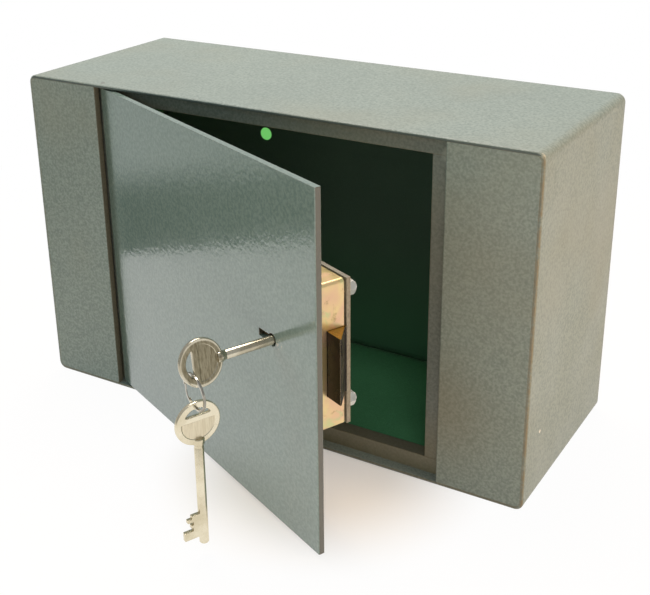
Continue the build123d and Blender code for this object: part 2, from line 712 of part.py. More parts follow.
def coil():
    """One flat winding of the split ring."""
    outer = Cylinder(RING_RADIUS + RING_WIRE_WIDTH / 2, RING_WIRE_THICKNESS)
    return outer - Cylinder(RING_RADIUS - RING_WIRE_WIDTH / 2, RING_WIRE_THICKNESS)


def split_ring():
    """Two windings side by side, hanging square to the bows and leaning to the door."""
    pair = Pos(0, 0, -RING_COIL_OFFSET) * coil() + Pos(0, 0, RING_COIL_OFFSET) * coil()
    upright_pair = Pos(0, 0, -RING_RADIUS) * Rot(90, 0, 0) * pair
    return Pos(*ring_top()) * Rot(RING_LEAN, 0, 0) * upright_pair


def spare_key():
    """The second key, hanging from the ring with its bit outwards."""
    low = ring_bottom()
    slot_roof = KEY_LENGTH - BOW_RIM
    tip = low[2] + RING_WIRE_WIDTH / 2 + RING_REST_GAP - slot_roof
    return Pos(low[0], low[1], tip) * Rot(0, 0, 90) * key_blank()


def nodes():
    cabinet = {
        "body_wrap": body_wrap(),
        "back_plate": back_plate(),
        "cheek_left": cheek(-1),
        "cheek_right": cheek(1),
        "frame_top": frame_rail(1),
        "frame_bottom": frame_rail(-1),
        "frame_left": frame_jamb(-1),
        "frame_right": frame_jamb(1),
        "hinge_pins": hinge_pins(),
        "hinge_washer": hinge_washer(),
    }
    cabinet.update(felts())
    door = {
        "door_plate": door_plate(),
        "lock_case": lock_case(),
        "lock_cover": lock_cover(),
        "lock_studs": at_studs(lock_stud),
        "lock_pillars": at_studs(pillar),
        "stud_washers": at_studs(stud_washer),
        "stud_nuts": at_studs(stud_nut),
        "lever_post": lever_post(),
        "slam_bolt": slam_bolt(),
        "latch_drawer": latch_drawer(),
        "bolt_spring": bolt_spring(),
        "spring_anchor": spring_anchor(),
        "lock_key": lock_key(),
        "split_ring": split_ring(),
        "spare_key": spare_key(),
    }
    for index in range(LEVER_COUNT):
        door[f"lever_{index + 1}"] = lever(index)
    springs = [lever_spring(index).solids()[0] for index in range(LEVER_COUNT)]
    door["lever_springs"] = Compound(children=springs)
    return cabinet, door


os.makedirs("parts", exist_ok=True)
CABINET, DOOR = nodes()
for name, part in CABINET.items():
    export_step(one(part), f"parts/{name}.step")
for name, part in DOOR.items():
    export_step(one(swing(part)), f"parts/{name}.step")
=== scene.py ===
import json
import math

import bmesh
import bpy
from mathutils import Matrix, Vector, noise

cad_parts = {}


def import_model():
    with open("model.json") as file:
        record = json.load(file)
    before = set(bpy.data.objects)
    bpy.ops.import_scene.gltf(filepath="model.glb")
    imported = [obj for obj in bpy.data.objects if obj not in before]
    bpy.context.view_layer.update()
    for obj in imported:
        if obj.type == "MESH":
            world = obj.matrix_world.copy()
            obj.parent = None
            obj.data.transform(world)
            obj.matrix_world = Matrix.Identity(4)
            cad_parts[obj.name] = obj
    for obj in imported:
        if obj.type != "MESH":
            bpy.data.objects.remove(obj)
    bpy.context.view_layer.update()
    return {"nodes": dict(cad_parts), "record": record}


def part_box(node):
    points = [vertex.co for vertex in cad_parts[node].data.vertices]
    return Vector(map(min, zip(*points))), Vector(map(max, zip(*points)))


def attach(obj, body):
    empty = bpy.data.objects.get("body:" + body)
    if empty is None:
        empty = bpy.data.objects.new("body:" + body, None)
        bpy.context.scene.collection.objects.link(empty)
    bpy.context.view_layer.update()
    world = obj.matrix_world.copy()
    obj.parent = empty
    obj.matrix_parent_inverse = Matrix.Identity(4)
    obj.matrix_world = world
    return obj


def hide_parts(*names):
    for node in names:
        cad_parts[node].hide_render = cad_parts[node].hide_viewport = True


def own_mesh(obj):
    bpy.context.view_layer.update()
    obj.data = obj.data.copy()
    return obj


# Wall-mounted day safe with its door ajar and its keys in the lock.
# Metres, +Z up. X runs along the front to the right, Y towards the wall.

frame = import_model()
NODES = frame["nodes"]

MM = 0.001

# Places taken from the frame
WRAP_LOW, WRAP_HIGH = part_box("body_wrap")
FRAME_TOP_LOW, FRAME_TOP_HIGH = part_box("frame_top")
FLOOR_Z = WRAP_LOW.z
FRONT_Y = WRAP_LOW.y
JOINTS = {joint["name"]: joint for joint in frame["record"]["behaviour"]["joints"]}
JOINT_PLACES = {name: Vector(joint["pos_m"]) for name, joint in JOINTS.items() if "pos_m" in joint}
HINGE = JOINT_PLACES["door_hinge"]
KEYHOLE = JOINT_PLACES["key_turn"]

# The door stands ajar, and these directions turn with it
DOOR_OPEN = math.radians(24.4)
AJAR = Matrix.Rotation(-DOOR_OPEN, 4, "Z")
ALONG_DOOR = AJAR @ Vector((1, 0, 0))
INTO_DOOR = AJAR @ Vector((0, 1, 0))


# Node helpers

BEVEL_SAMPLES = 6
EDGE_FROM = 0.02
EDGE_TO = 0.25


class Shader:
    """Builds one material, a node at a time."""

    def __init__(self, name):
        self.material = bpy.data.materials.new(name)
        self.material.use_nodes = True
        self.nodes = self.material.node_tree.nodes
        self.links = self.material.node_tree.links
        self.surface = self.nodes["Principled BSDF"]
        self.output = self.nodes["Material Output"]

    def join(self, source, target):
        self.links.new(source, target)

    def put(self, value, socket):
        """Sets a socket to a plain value, or links it to another node's socket."""
        if isinstance(value, bpy.types.NodeSocket):
            self.links.new(value, socket)
        else:
            socket.default_value = value

    def place(self, scale=(1, 1, 1)):
        """Object coordinates, which are the row frame's, scaled."""
        coords = self.nodes.new("ShaderNodeTexCoord")
        mapping = self.nodes.new("ShaderNodeMapping")
        mapping.inputs["Scale"].default_value = scale
        self.join(coords.outputs["Object"], mapping.inputs["Vector"])
        return mapping.outputs["Vector"]

    def noise(self, scale, detail=3.0, rough=0.55, vector=None, distortion=0.0):
        node = self.nodes.new("ShaderNodeTexNoise")
        node.inputs["Scale"].default_value = scale
        node.inputs["Detail"].default_value = detail
        node.inputs["Roughness"].default_value = rough
        node.inputs["Distortion"].default_value = distortion
        self.join(vector or self.place(), node.inputs["Vector"])
        return node.outputs["Fac"]

    def cells(self, scale):
        """Distance to the middle of the nearest soft-edged cell."""
        node = self.nodes.new("ShaderNodeTexVoronoi")
        node.feature = "SMOOTH_F1"
        node.inputs["Scale"].default_value = scale
        self.join(self.place(), node.inputs["Vector"])
        return node.outputs["Distance"]

    def math(self, operation, a, b=0.0):
        node = self.nodes.new("ShaderNodeMath")
        node.operation = operation
        self.put(a, node.inputs[0])
        self.put(b, node.inputs[1])
        return node.outputs[0]

    def times(self, first, *others):
        """The product of several values."""
        for other in others:
            first = self.math("MULTIPLY", first, other)
        return first

    def ramp(self, value, low, high, out_low=0.0, out_high=1.0):
        """A value rescaled smoothly between two limits."""
        node = self.nodes.new("ShaderNodeMapRange")
        node.interpolation_type = "SMOOTHSTEP"
        self.put(value, node.inputs["Value"])
        node.inputs["From Min"].default_value = low
        node.inputs["From Max"].default_value = high
        node.inputs["To Min"].default_value = out_low
        node.inputs["To Max"].default_value = out_high
        return node.outputs["Result"]

    def mix(self, factor, a, b):
        """A colour between two colours."""
        node = self.nodes.new("ShaderNodeMix")
        node.data_type = "RGBA"
        self.put(factor, node.inputs["Factor"])
        self.put(a, node.inputs["A"])
        self.put(b, node.inputs["B"])
        return node.outputs["Result"]

    def axis(self, letter):
        """One row-frame coordinate of the surface point."""
        node = self.nodes.new("ShaderNodeSeparateXYZ")
        self.join(self.place(), node.inputs[0])
        return node.outputs[letter]

    def world_x(self):
        """The scene's X at the surface point, for stage cards that are placed and scaled."""
        geometry = self.nodes.new("ShaderNodeNewGeometry")
        node = self.nodes.new("ShaderNodeSeparateXYZ")
        self.join(geometry.outputs["Position"], node.inputs[0])
        return node.outputs["X"]

    def vector_math(self, operation, vector, other):
        """One number made from two vectors."""
        node = self.nodes.new("ShaderNodeVectorMath")
        node.operation = operation
        self.join(vector, node.inputs[0])
        self.put(other, node.inputs[1])
        return node.outputs["Value"]

    def world_distance(self, point):
        """How far the surface point is from a point of the scene."""
        geometry = self.nodes.new("ShaderNodeNewGeometry")
        return self.vector_math("DISTANCE", geometry.outputs["Position"], point)

    def off_plane(self, point, normal):
        """How far the surface point is from a plane of the row frame, on either side."""
        along = self.vector_math("DOT_PRODUCT", self.place(), normal)
        return self.math("ABSOLUTE", self.math("SUBTRACT", along, point.dot(normal)))

    def near(self, point, radius, soft=0.5):
        """1 close to a point of the row frame, 0 beyond a radius."""
        distance = self.vector_math("DISTANCE", self.place(), point)
        return self.ramp(distance, radius * (1 - soft), radius, 1.0, 0.0)

    def near_line(self, x, z, radius, soft):
        """1 close to a line that runs from front to back, 0 beyond a radius."""
        across = self.math("SUBTRACT", self.axis("X"), x)
        up = self.math("SUBTRACT", self.axis("Z"), z)
        squared = self.math("ADD", self.times(across, across), self.times(up, up))
        return self.ramp(self.math("SQRT", squared), radius * (1 - soft), radius, 1.0, 0.0)

    def facing(self, direction):
        """How squarely the surface faces a direction of the row frame."""
        coords = self.nodes.new("ShaderNodeTexCoord")
        return self.vector_math("DOT_PRODUCT", coords.outputs["Normal"], direction)

    def rounded(self, radius):
        """The surface's normal with its sharp edges softened."""
        bevel = self.nodes.new("ShaderNodeBevel")
        bevel.samples = BEVEL_SAMPLES
        bevel.inputs["Radius"].default_value = radius
        return bevel.outputs["Normal"]

    def edge(self, normal):
        """1 along sharp edges, 0 away from them."""
        geometry = self.nodes.new("ShaderNodeNewGeometry")
        sameness = self.vector_math("DOT_PRODUCT", normal, geometry.outputs["Normal"])
        return self.ramp(self.math("SUBTRACT", 1.0, sameness), EDGE_FROM, EDGE_TO)

    def bump(self, height, strength, distance, below=None):
        node = self.nodes.new("ShaderNodeBump")
        node.inputs["Strength"].default_value = strength
        node.inputs["Distance"].default_value = distance
        self.put(height, node.inputs["Height"])
        if below is not None:
            self.join(below, node.inputs["Normal"])
        return node.outputs["Normal"]

    def set(self, **values):
        """Sets the Principled shader's inputs by their names with spaces as underscores."""
        for key, value in values.items():
            self.put(value, self.surface.inputs[key.replace("_", " ")])
        return self.material


def rgb(r, g, b):
    return (r, g, b, 1.0)


def srgb(r, g, b):
    """A linear colour from screen values of 0 to 255."""
    def linear(c):
        c /= 255.0
        return c / 12.92 if c <= 0.04045 else ((c + 0.055) / 1.055) ** 2.4
    return (linear(r), linear(g), linear(b), 1.0)


# Materials

# How squarely a face has to look one way to take that side's colour
FACES_BROAD = (0.75, 0.95)
FACES_NARROW = (0.80, 0.97)

# How far each finish softens the sharp edges
ENAMEL_SOFTNESS = 1.2 * MM
DOOR_SOFTNESS = 0.9 * MM
PLATE_SOFTNESS = 0.6 * MM
BOLT_SOFTNESS = 0.5 * MM
STEEL_SOFTNESS = 0.3 * MM

ENAMEL_LIGHT = srgb(158, 167, 158)
ENAMEL_DARK = srgb(106, 118, 110)
ENAMEL_OLIVE = srgb(146, 144, 124)
RUBBED_BROWN = srgb(140, 124, 96)
RUBBED_BRIGHT = srgb(226, 206, 170)
MOTTLE_SCALE = 470.0
MOTTLE_CONTRAST = 0.5
DOOR_MOTTLE_SCALE = 380.0
DOOR_MOTTLE_CONTRAST = 0.8


def enamel_skin(s, light, dark, scale, contrast):
    """Fine two-tone mottle of hammered stove enamel, and the height that goes with it."""
    mottle = s.noise(scale, detail=4.0, rough=0.62)
    pits = s.cells(scale * 0.85)
    tones = s.ramp(mottle, 0.34, 0.66, 0.5 - 0.5 * contrast, 0.5 + 0.5 * contrast)
    colour = s.mix(tones, dark, light)
    colour = s.mix(s.ramp(pits, 0.50, 0.80, 0.0, 0.45 * contrast), colour, dark)
    height = s.math("ADD", s.times(pits, 0.7), s.times(mottle, 0.6))
    return colour, height


def rubbed_edges(s, colour, normal, amount, tone):
    """Paint rubbed thin along the edges, in uneven stretches."""
    breakup = s.ramp(s.noise(150.0, detail=4.0, rough=0.7), 0.32, 0.58, 0.25, 1.0)
    return s.mix(s.times(s.edge(normal), s.times(breakup, amount)), colour, tone)


def hammered_enamel(name, light, dark, rough, peel, wear=1.0, tone=RUBBED_BROWN):
    """Enamel with a mottle, olive drifts and rubbed edges, and its colour for others to add to."""
    s = Shader(name)
    colour, height = enamel_skin(s, light, dark, MOTTLE_SCALE, MOTTLE_CONTRAST)
    drift = s.noise(7.0, detail=3.0, rough=0.5)
    colour = s.mix(s.ramp(drift, 0.45, 0.75, 0.0, 0.35), colour, ENAMEL_OLIVE)
    soft = s.rounded(ENAMEL_SOFTNESS)
    colour = rubbed_edges(s, colour, soft, wear, tone)
    smudge = s.noise(18.0, detail=5.0, rough=0.6)
    shine = s.ramp(smudge, 0.3, 0.7, rough - 0.04, rough + 0.06)
    normal = s.bump(height, peel, 0.22 * MM, below=soft)
    s.set(Base_Color=colour, Roughness=shine, Normal=normal, Metallic=0.0)
    return s, colour


# Marks on the cabinet's enamel, and a painted shade on its top lip
OPENING_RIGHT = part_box("cheek_right")[0].x
KNOCKED_CORNER = (WRAP_HIGH.x, WRAP_LOW.y, WRAP_HIGH.z)
KNOCK_RADIUS = 5.0 * MM
SIDE_CHIP = (WRAP_HIGH.x, -148 * MM, -84 * MM)
CHIP_RADIUS = 1.6 * MM
CHIP_WHITE = srgb(238, 232, 220)
LOW_PATCH_PLACE = (OPENING_RIGHT, FRONT_Y, -70 * MM)
LOW_PATCH_RADIUS = 70.0 * MM
LOW_PATCH_BROWN = srgb(128, 112, 80)
LIP_FROM = 2.6 * MM
LIP_TO = 2.3 * MM
LIP_PAINTED_SHADE = srgb(74, 84, 80)
SILL_BROWN = srgb(104, 92, 64)
INNER_EDGE_TO_X = -10 * MM
INNER_EDGE_BROWN = srgb(112, 92, 60)
WORN_DEPTH_FROM = 0.9 * MM
WORN_DEPTH_TO = 0.2 * MM
WORN_WIDTH_FROM = 3.0 * MM
WORN_WIDTH_TO = 1.0 * MM


def cabinet_enamel(name):
    """The wrap's enamel, with a knock, a chip, a soft brownish patch low on the right, a painted shade
    on the top lip's front face, and rubbed or browned edges.
    """
    s, colour = hammered_enamel(name, ENAMEL_LIGHT, ENAMEL_DARK, 0.42, 0.32)
    knock = s.near(KNOCKED_CORNER, KNOCK_RADIUS)
    ragged = s.ramp(s.noise(420.0, detail=4.0, rough=0.7), 0.36, 0.56)
    colour = s.mix(s.times(knock, ragged), colour, RUBBED_BRIGHT)
    colour = s.mix(s.near(SIDE_CHIP, CHIP_RADIUS, soft=0.3), colour, CHIP_WHITE)
    front = s.ramp(s.facing((0, -1, 0)), *FACES_BROAD)
    # Painted shade: the front face of the top lip is darkened.
    lip = s.ramp(s.axis("Z"), WRAP_HIGH.z - LIP_FROM, WRAP_HIGH.z - LIP_TO)
    colour = s.mix(s.times(front, lip, 0.8), colour, LIP_PAINTED_SHADE)
    # A soft brownish patch low on the right cheek, by the opening.
    low_patch = s.near(LOW_PATCH_PLACE, LOW_PATCH_RADIUS, soft=0.95)
    colour = s.mix(s.times(low_patch, 0.4), colour, LOW_PATCH_BROWN)
    sill = s.ramp(s.axis("Z"), FLOOR_Z + LIP_FROM, FLOOR_Z + LIP_TO)
    colour = s.mix(s.times(front, sill, 0.6), colour, SILL_BROWN)
    faces_right = s.ramp(s.facing((1, 0, 0)), *FACES_BROAD)
    left_half = s.ramp(s.axis("X"), 0.0, INNER_EDGE_TO_X)
    colour = s.mix(s.times(faces_right, left_half, 0.65), colour, INNER_EDGE_BROWN)
    rim = s.ramp(s.axis("Y"), FRONT_Y + WORN_DEPTH_FROM, FRONT_Y + WORN_DEPTH_TO)
    right = s.ramp(s.axis("X"), WRAP_HIGH.x - WORN_WIDTH_FROM, WRAP_HIGH.x - WORN_WIDTH_TO)
    patches = s.ramp(s.noise(90.0, detail=5.0, rough=0.75), 0.36, 0.58, 0.15, 0.9)
    return s.set(Base_Color=s.mix(s.times(rim, right, patches), colour, RUBBED_BROWN))


# The frame is coloured browner towards its foot, and paler where two lengths butt
FRAME_LIGHT = srgb(138, 141, 132)
FRAME_DARK = srgb(96, 101, 94)
FRAME_RUBBED = srgb(160, 148, 120)
FOOT_BROWN = srgb(126, 114, 80)
FOOT_FULL = 14 * MM
FOOT_END = 70 * MM
BUTT_PLACE = (FRAME_TOP_HIGH.x - 6 * MM, FRAME_TOP_LOW.y, FRAME_TOP_LOW.z)
BUTT_RADIUS = 9.0 * MM
BUTT_PALE = srgb(190, 188, 172)


def frame_enamel(name):
    """Darker slate enamel of the angle frame."""
    s, colour = hammered_enamel(
        name, FRAME_LIGHT, FRAME_DARK, 0.36, 0.28, wear=0.9, tone=FRAME_RUBBED
    )
    foot = s.ramp(s.axis("Z"), FLOOR_Z + FOOT_FULL, FLOOR_Z + FOOT_END, 0.5, 0.0)
    colour = s.mix(foot, colour, FOOT_BROWN)
    butt = s.near(BUTT_PLACE, BUTT_RADIUS)
    return s.set(Base_Color=s.mix(s.times(butt, 0.45), colour, BUTT_PALE))


DOOR_LIGHT = srgb(132, 148, 138)
DOOR_DARK = srgb(108, 126, 117)
DOOR_RUBBED = srgb(150, 134, 102)
HINGE_SHADE = srgb(62, 70, 62)
HINGE_SHADE_FULL = 2.0 * MM
HINGE_SHADE_END = 16.0 * MM
FREE_EDGE_TAN = srgb(77, 70, 54)
SCUFF_PLACE = KEYHOLE + ALONG_DOOR * 9 * MM
SCUFF_RADIUS = 5.0 * MM
PEEL_DEPTH = 0.25 * MM


def door_enamel(name):
    """Glossier enamel of the door: orange peel, a shadowed hinge side and a tan free edge."""
    s = Shader(name)
    colour, height = enamel_skin(
        s, DOOR_LIGHT, DOOR_DARK, DOOR_MOTTLE_SCALE, DOOR_MOTTLE_CONTRAST
    )
    soft = s.rounded(DOOR_SOFTNESS)
    from_hinge = s.math("SUBTRACT", s.axis("X"), HINGE.x)
    shade = s.ramp(from_hinge, HINGE_SHADE_FULL, HINGE_SHADE_END, 0.45, 0.0)
    colour = s.mix(shade, colour, HINGE_SHADE)
    free_edge = s.ramp(s.facing(ALONG_DOOR), *FACES_NARROW)
    colour = s.mix(s.times(free_edge, 0.9), colour, FREE_EDGE_TAN)
    colour = rubbed_edges(s, colour, soft, 0.5, DOOR_RUBBED)
    scuff = s.near(SCUFF_PLACE, SCUFF_RADIUS)
    ragged = s.ramp(s.noise(500.0, detail=4.0, rough=0.75), 0.5, 0.62)
    colour = s.mix(s.times(scuff, ragged), colour, RUBBED_BRIGHT)
    waves = s.math("ADD", height, s.times(s.noise(190.0, detail=2.0), 1.6))
    normal = s.bump(waves, 0.24, PEEL_DEPTH, below=soft)
    coat_normal = s.bump(waves, 0.20, PEEL_DEPTH, below=soft)
    shine = s.ramp(s.noise(26.0, detail=5.0, rough=0.6), 0.3, 0.7, 0.12, 0.18)
    return s.set(
        Base_Color=colour, Roughness=shine, Normal=normal, Specular_IOR_Level=0.75,
        Coat_Weight=0.6, Coat_Roughness=0.06, Coat_Normal=coat_normal
    )


def felt(name, light, dark, shade):
    """Green baize: matted fibres with a soft nap."""
    s = Shader(name)
    fibre = s.noise(1400.0, detail=6.0, rough=0.75, distortion=1.2)
    clump = s.noise(170.0, detail=5.0, rough=0.7)
    cloud = s.noise(14.0, detail=3.0)
    colour = s.mix(s.ramp(fibre, 0.3, 0.7), dark, light)
    colour = s.mix(s.ramp(clump, 0.35, 0.75, 0.0, 0.45), colour, shade)
    colour = s.mix(s.ramp(cloud, 0.4, 0.7, 0.0, 0.3), colour, light)
    height = s.math("ADD", fibre, s.times(clump, 0.8))
    s.set(
        Base_Color=colour, Roughness=0.95, Normal=s.bump(height, 0.6, 0.5 * MM),
        Sheen_Weight=0.12, Sheen_Roughness=0.5, Specular_IOR_Level=0.08
    )
    return s


FIXING_X = 104.5 * MM
FIXING_Z = 60.5 * MM
FIXING_RADIUS = 6.35 * MM
BACK_GREEN = srgb(78, 132, 98)
BACK_GREEN_FULL = 10 * MM
BACK_GREEN_END = 150 * MM
PAINTED_GLOW_GREEN = srgb(112, 200, 104)


def back_felt(name):
    """The back's baize, greyer than the floor's, with a painted green glow at the fixing holes for
    daylight shining through the thin cloth.
    """
    # Painted shade: the back's baize is a greyer copy of the floor's, keeping more green only towards
    # its foot.
    s = felt(name, srgb(104, 130, 116), srgb(82, 108, 96), srgb(92, 118, 106))
    upper = s.surface.inputs["Base Color"].links[0].from_socket
    lower = s.ramp(s.axis("Z"), FLOOR_Z + BACK_GREEN_FULL, FLOOR_Z + BACK_GREEN_END, 0.85, 0.0)
    s.set(Base_Color=s.mix(lower, upper, BACK_GREEN))
    # Painted glow: emission at the four fixing holes stands for daylight shining through the baize.
    glow = None
    for x in (-FIXING_X, FIXING_X):
        for z in (-FIXING_Z, FIXING_Z):
            spot = s.near_line(x, z, FIXING_RADIUS, soft=0.14)
            glow = spot if glow is None else s.math("MAXIMUM", glow, spot)
    inward = s.ramp(s.facing((0, -1, 0)), 0.5, 0.9, 0.0, 0.9)
    s.set(Emission_Color=PAINTED_GLOW_GREEN, Emission_Strength=s.times(glow, inward))
    return s.material


def yellow_zinc(name):
    """Yellow-passivated plating: pale gold with pink and green drifts and brown stains."""
    s = Shader(name)
    drift = s.noise(34.0, detail=3.0, distortion=0.8)
    colour = s.mix(s.ramp(drift, 0.40, 0.66), srgb(236, 212, 150), srgb(232, 192, 156))
    green = s.noise(55.0, detail=2.0, distortion=1.5)
    colour = s.mix(s.ramp(green, 0.52, 0.70, 0.0, 0.6), colour, srgb(190, 208, 148))
    stain = s.noise(120.0, detail=5.0, rough=0.7)
    colour = s.mix(s.ramp(stain, 0.56, 0.72, 0.0, 0.65), colour, srgb(146, 110, 64))
    soft = s.rounded(PLATE_SOFTNESS)
    colour = s.mix(s.times(s.edge(soft), 0.6), colour, srgb(250, 236, 196))
    normal = s.bump(s.noise(900.0, detail=4.0), 0.12, 0.1 * MM, below=soft)
    shine = s.ramp(drift, 0.3, 0.7, 0.30, 0.42)
    return s.set(Base_Color=colour, Metallic=0.85, Roughness=shine, Normal=normal)


def cover_paint(name):
    """Satin warm grey paint on the cover plate."""
    s = Shader(name)
    mottle = s.noise(500.0, detail=3.0)
    soft = s.rounded(PLATE_SOFTNESS)
    colour = s.mix(s.ramp(mottle, 0.35, 0.65), srgb(126, 120, 106), srgb(148, 141, 124))
    colour = s.mix(s.times(s.edge(soft), 0.6), colour, srgb(186, 174, 150))
    normal = s.bump(mottle, 0.2, 0.12 * MM, below=soft)
    return s.set(Base_Color=colour, Roughness=0.40, Normal=normal)


def steel(name, light, dark, rough):
    """Bare or plated metal with fine grinding marks and faint clouds."""
    s = Shader(name)
    grain = s.noise(700.0, detail=4.0)
    cloud = s.noise(60.0, detail=4.0, rough=0.6)
    colour = s.mix(s.ramp(cloud, 0.35, 0.7), light, dark)
    shine = s.ramp(grain, 0.3, 0.7, rough - 0.05, rough + 0.08)
    normal = s.bump(grain, 0.04, 0.08 * MM, below=s.rounded(STEEL_SOFTNESS))
    return s.set(Base_Color=colour, Metallic=1.0, Roughness=shine, Normal=normal)


BEVEL_FACES = (ALONG_DOOR + INTO_DOOR).normalized()


def bolt_steel(name):
    """Browned steel of the bolt: oily dark sides, a painted golden highlight on its top and a painted
    green reflection on its bevel.
    """
    s = Shader(name)
    cloud = s.noise(70.0, detail=4.0, rough=0.6)
    colour = s.mix(s.ramp(cloud, 0.35, 0.7), srgb(58, 50, 46), srgb(36, 31, 29))
    # Painted green reflection on the bevel.
    bevel = s.ramp(s.facing(BEVEL_FACES), *FACES_NARROW)
    painted_green_reflection = s.mix(s.ramp(cloud, 0.3, 0.6), srgb(66, 78, 58), srgb(42, 50, 38))
    colour = s.mix(bevel, colour, painted_green_reflection)
    # Painted golden highlight on the top face.
    top = s.ramp(s.facing((0, 0, 1)), *FACES_NARROW)
    colour = s.mix(top, colour, srgb(206, 168, 78))
    soft = s.rounded(BOLT_SOFTNESS)
    colour = s.mix(s.times(s.edge(soft), 0.7), colour, srgb(196, 176, 130))
    scratches = s.noise(600.0, detail=4.0, vector=s.place(scale=(1, 1, 0.15)))
    shine = s.ramp(cloud, 0.3, 0.7, 0.22, 0.34)
    normal = s.bump(scratches, 0.10, 0.08 * MM, below=soft)
    return s.set(Base_Color=colour, Metallic=0.9, Roughness=shine, Normal=normal)


FLOOR_GREEN = felt(
    "green_felt", srgb(116, 196, 138), srgb(76, 146, 98), srgb(90, 164, 112)
).material
ZINC = steel("zinc_fasteners", srgb(244, 240, 228), srgb(214, 208, 194), 0.36)
SPRING_STEEL = steel("spring_steel", srgb(208, 204, 192), srgb(160, 154, 142), 0.20)

MATERIALS = {
    "enamel": cabinet_enamel("enamel"),
    "frame_enamel": frame_enamel("frame_enamel"),
    "door_enamel": door_enamel("door_enamel"),
    "cover_enamel": cover_paint("cover_enamel"),
    "green_felt": FLOOR_GREEN,
    "pin_steel": steel("pin_steel", srgb(150, 146, 138), srgb(110, 106, 98), 0.35),
    "yellow_zinc": yellow_zinc("yellow_zinc"),
    "zinc_fasteners": ZINC,
    "bolt_steel": bolt_steel("bolt_steel"),
    "spring_steel": SPRING_STEEL,
    "lever_brass": steel("lever_brass", srgb(214, 180, 104), srgb(176, 142, 74), 0.32),
}


def dress_nodes():
    """Every CAD node takes its slot's finish, but for the keys, which keys() stands in for."""
    for part in frame["record"]["subparts"]:
        if part["material_slot"] not in MATERIALS:
            continue
        mesh = NODES[part["node"]].data
        mesh.materials.clear()
        mesh.materials.append(MATERIALS[part["material_slot"]])


# Detailed pieces

def piece(name, bm, material, body, replaced, smooth=True):
    """Turns a bmesh into a piece that rides on a body and stands for CAD nodes."""
    mesh = bpy.data.meshes.new(name)
    bmesh.ops.recalc_face_normals(bm, faces=bm.faces)
    bm.to_mesh(mesh)
    bm.free()
    for polygon in mesh.polygons:
        polygon.use_smooth = smooth
    mesh.materials.append(material)
    obj = bpy.data.objects.new(name, mesh)
    bpy.context.scene.collection.objects.link(obj)
    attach(obj, body)
    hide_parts(*replaced)
    return obj


# Which way each felt's seen face looks along its thin axis
FELT_FACES = {"felt_back": -1, "felt_floor": 1, "felt_left": 1, "felt_right": -1}
FELT_STEP = 6.0 * MM
FELT_WAVE = 0.28 * MM
LONG_WAVES = 38.0
SHORT_WAVES = 120.0
SHORT_SHARE = 0.4
WAVE_ROOM = 1.4


def felt_piece(node, material):
    """A cut sheet of baize with a faintly uneven face, in its CAD solid's place."""
    low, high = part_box(node)
    size = high - low
    if node == "felt_back":
        low.z -= 2 * FELT_WAVE
    thin = min(range(3), key=lambda i: size[i])
    flat = [i for i in range(3) if i != thin]
    counts = [max(2, round(size[i] / FELT_STEP)) for i in flat]
    towards = FELT_FACES[node]
    face = high[thin] if towards > 0 else low[thin]
    rear = low[thin] if towards > 0 else high[thin]
    bm = bmesh.new()
    rows = []
    for a in range(counts[0] + 1):
        row = []
        for b in range(counts[1] + 1):
            point = Vector((0, 0, 0))
            point[flat[0]] = low[flat[0]] + size[flat[0]] * a / counts[0]
            point[flat[1]] = low[flat[1]] + size[flat[1]] * b / counts[1]
            rim = min(a, b, counts[0] - a, counts[1] - b)
            wave = noise.noise(point * LONG_WAVES) * FELT_WAVE
            wave += noise.noise(point * SHORT_WAVES) * FELT_WAVE * SHORT_SHARE
            sink = FELT_WAVE * WAVE_ROOM - wave if rim else FELT_WAVE
            point[thin] = face - towards * sink
            row.append(bm.verts.new(point))
        rows.append(row)
    for a in range(counts[0]):
        for b in range(counts[1]):
            bm.faces.new((rows[a][b], rows[a + 1][b], rows[a + 1][b + 1], rows[a][b + 1]))
    rim_edges = [e for e in bm.edges if e.is_boundary]
    grown = bmesh.ops.extrude_edge_only(bm, edges=rim_edges)
    rear_verts = [g for g in grown["geom"] if isinstance(g, bmesh.types.BMVert)]
    for vert in rear_verts:
        vert.co[thin] = rear
    bmesh.ops.contextual_create(bm, geom=[e for e in bm.edges if e.is_boundary])
    obj = piece(f"{node}_cloth", bm, material, "root", replaced=(node,))


def felts():
    back_green = back_felt("back_green_felt")
    felt_piece("felt_floor", FLOOR_GREEN)
    felt_piece("felt_left", FLOOR_GREEN)
    felt_piece("felt_right", FLOOR_GREEN)
    felt_piece("felt_back", back_green)


# Mesh helpers, all in millimetres before they are placed

ROUND = 48
BEAD_STEPS = 3


def lathe(bm, profile, place, segments=ROUND, closed=False):
    """Turns a profile of (radius, height) points about Z; radius 0 or a closed profile shuts it."""
    rings = []
    for radius, height in profile:
        if radius == 0:
            rings.append([bm.verts.new(place @ (Vector((0, 0, height)) * MM))])
            continue
        ring = []
        for step in range(segments):
            angle = 2 * math.pi * step / segments
            point = Vector((radius * math.cos(angle), radius * math.sin(angle), height))
            ring.append(bm.verts.new(place @ (point * MM)))
        rings.append(ring)
    pairs = list(zip(rings, rings[1:]))
    if closed:
        pairs.append((rings[-1], rings[0]))
    for lower, upper in pairs:
        for step in range(segments):
            after = (step + 1) % segments
            if len(lower) == 1:
                bm.faces.new((lower[0], upper[step], upper[after]))
            elif len(upper) == 1:
                bm.faces.new((lower[step], lower[after], upper[0]))
            else:
                bm.faces.new((lower[step], lower[after], upper[after], upper[step]))


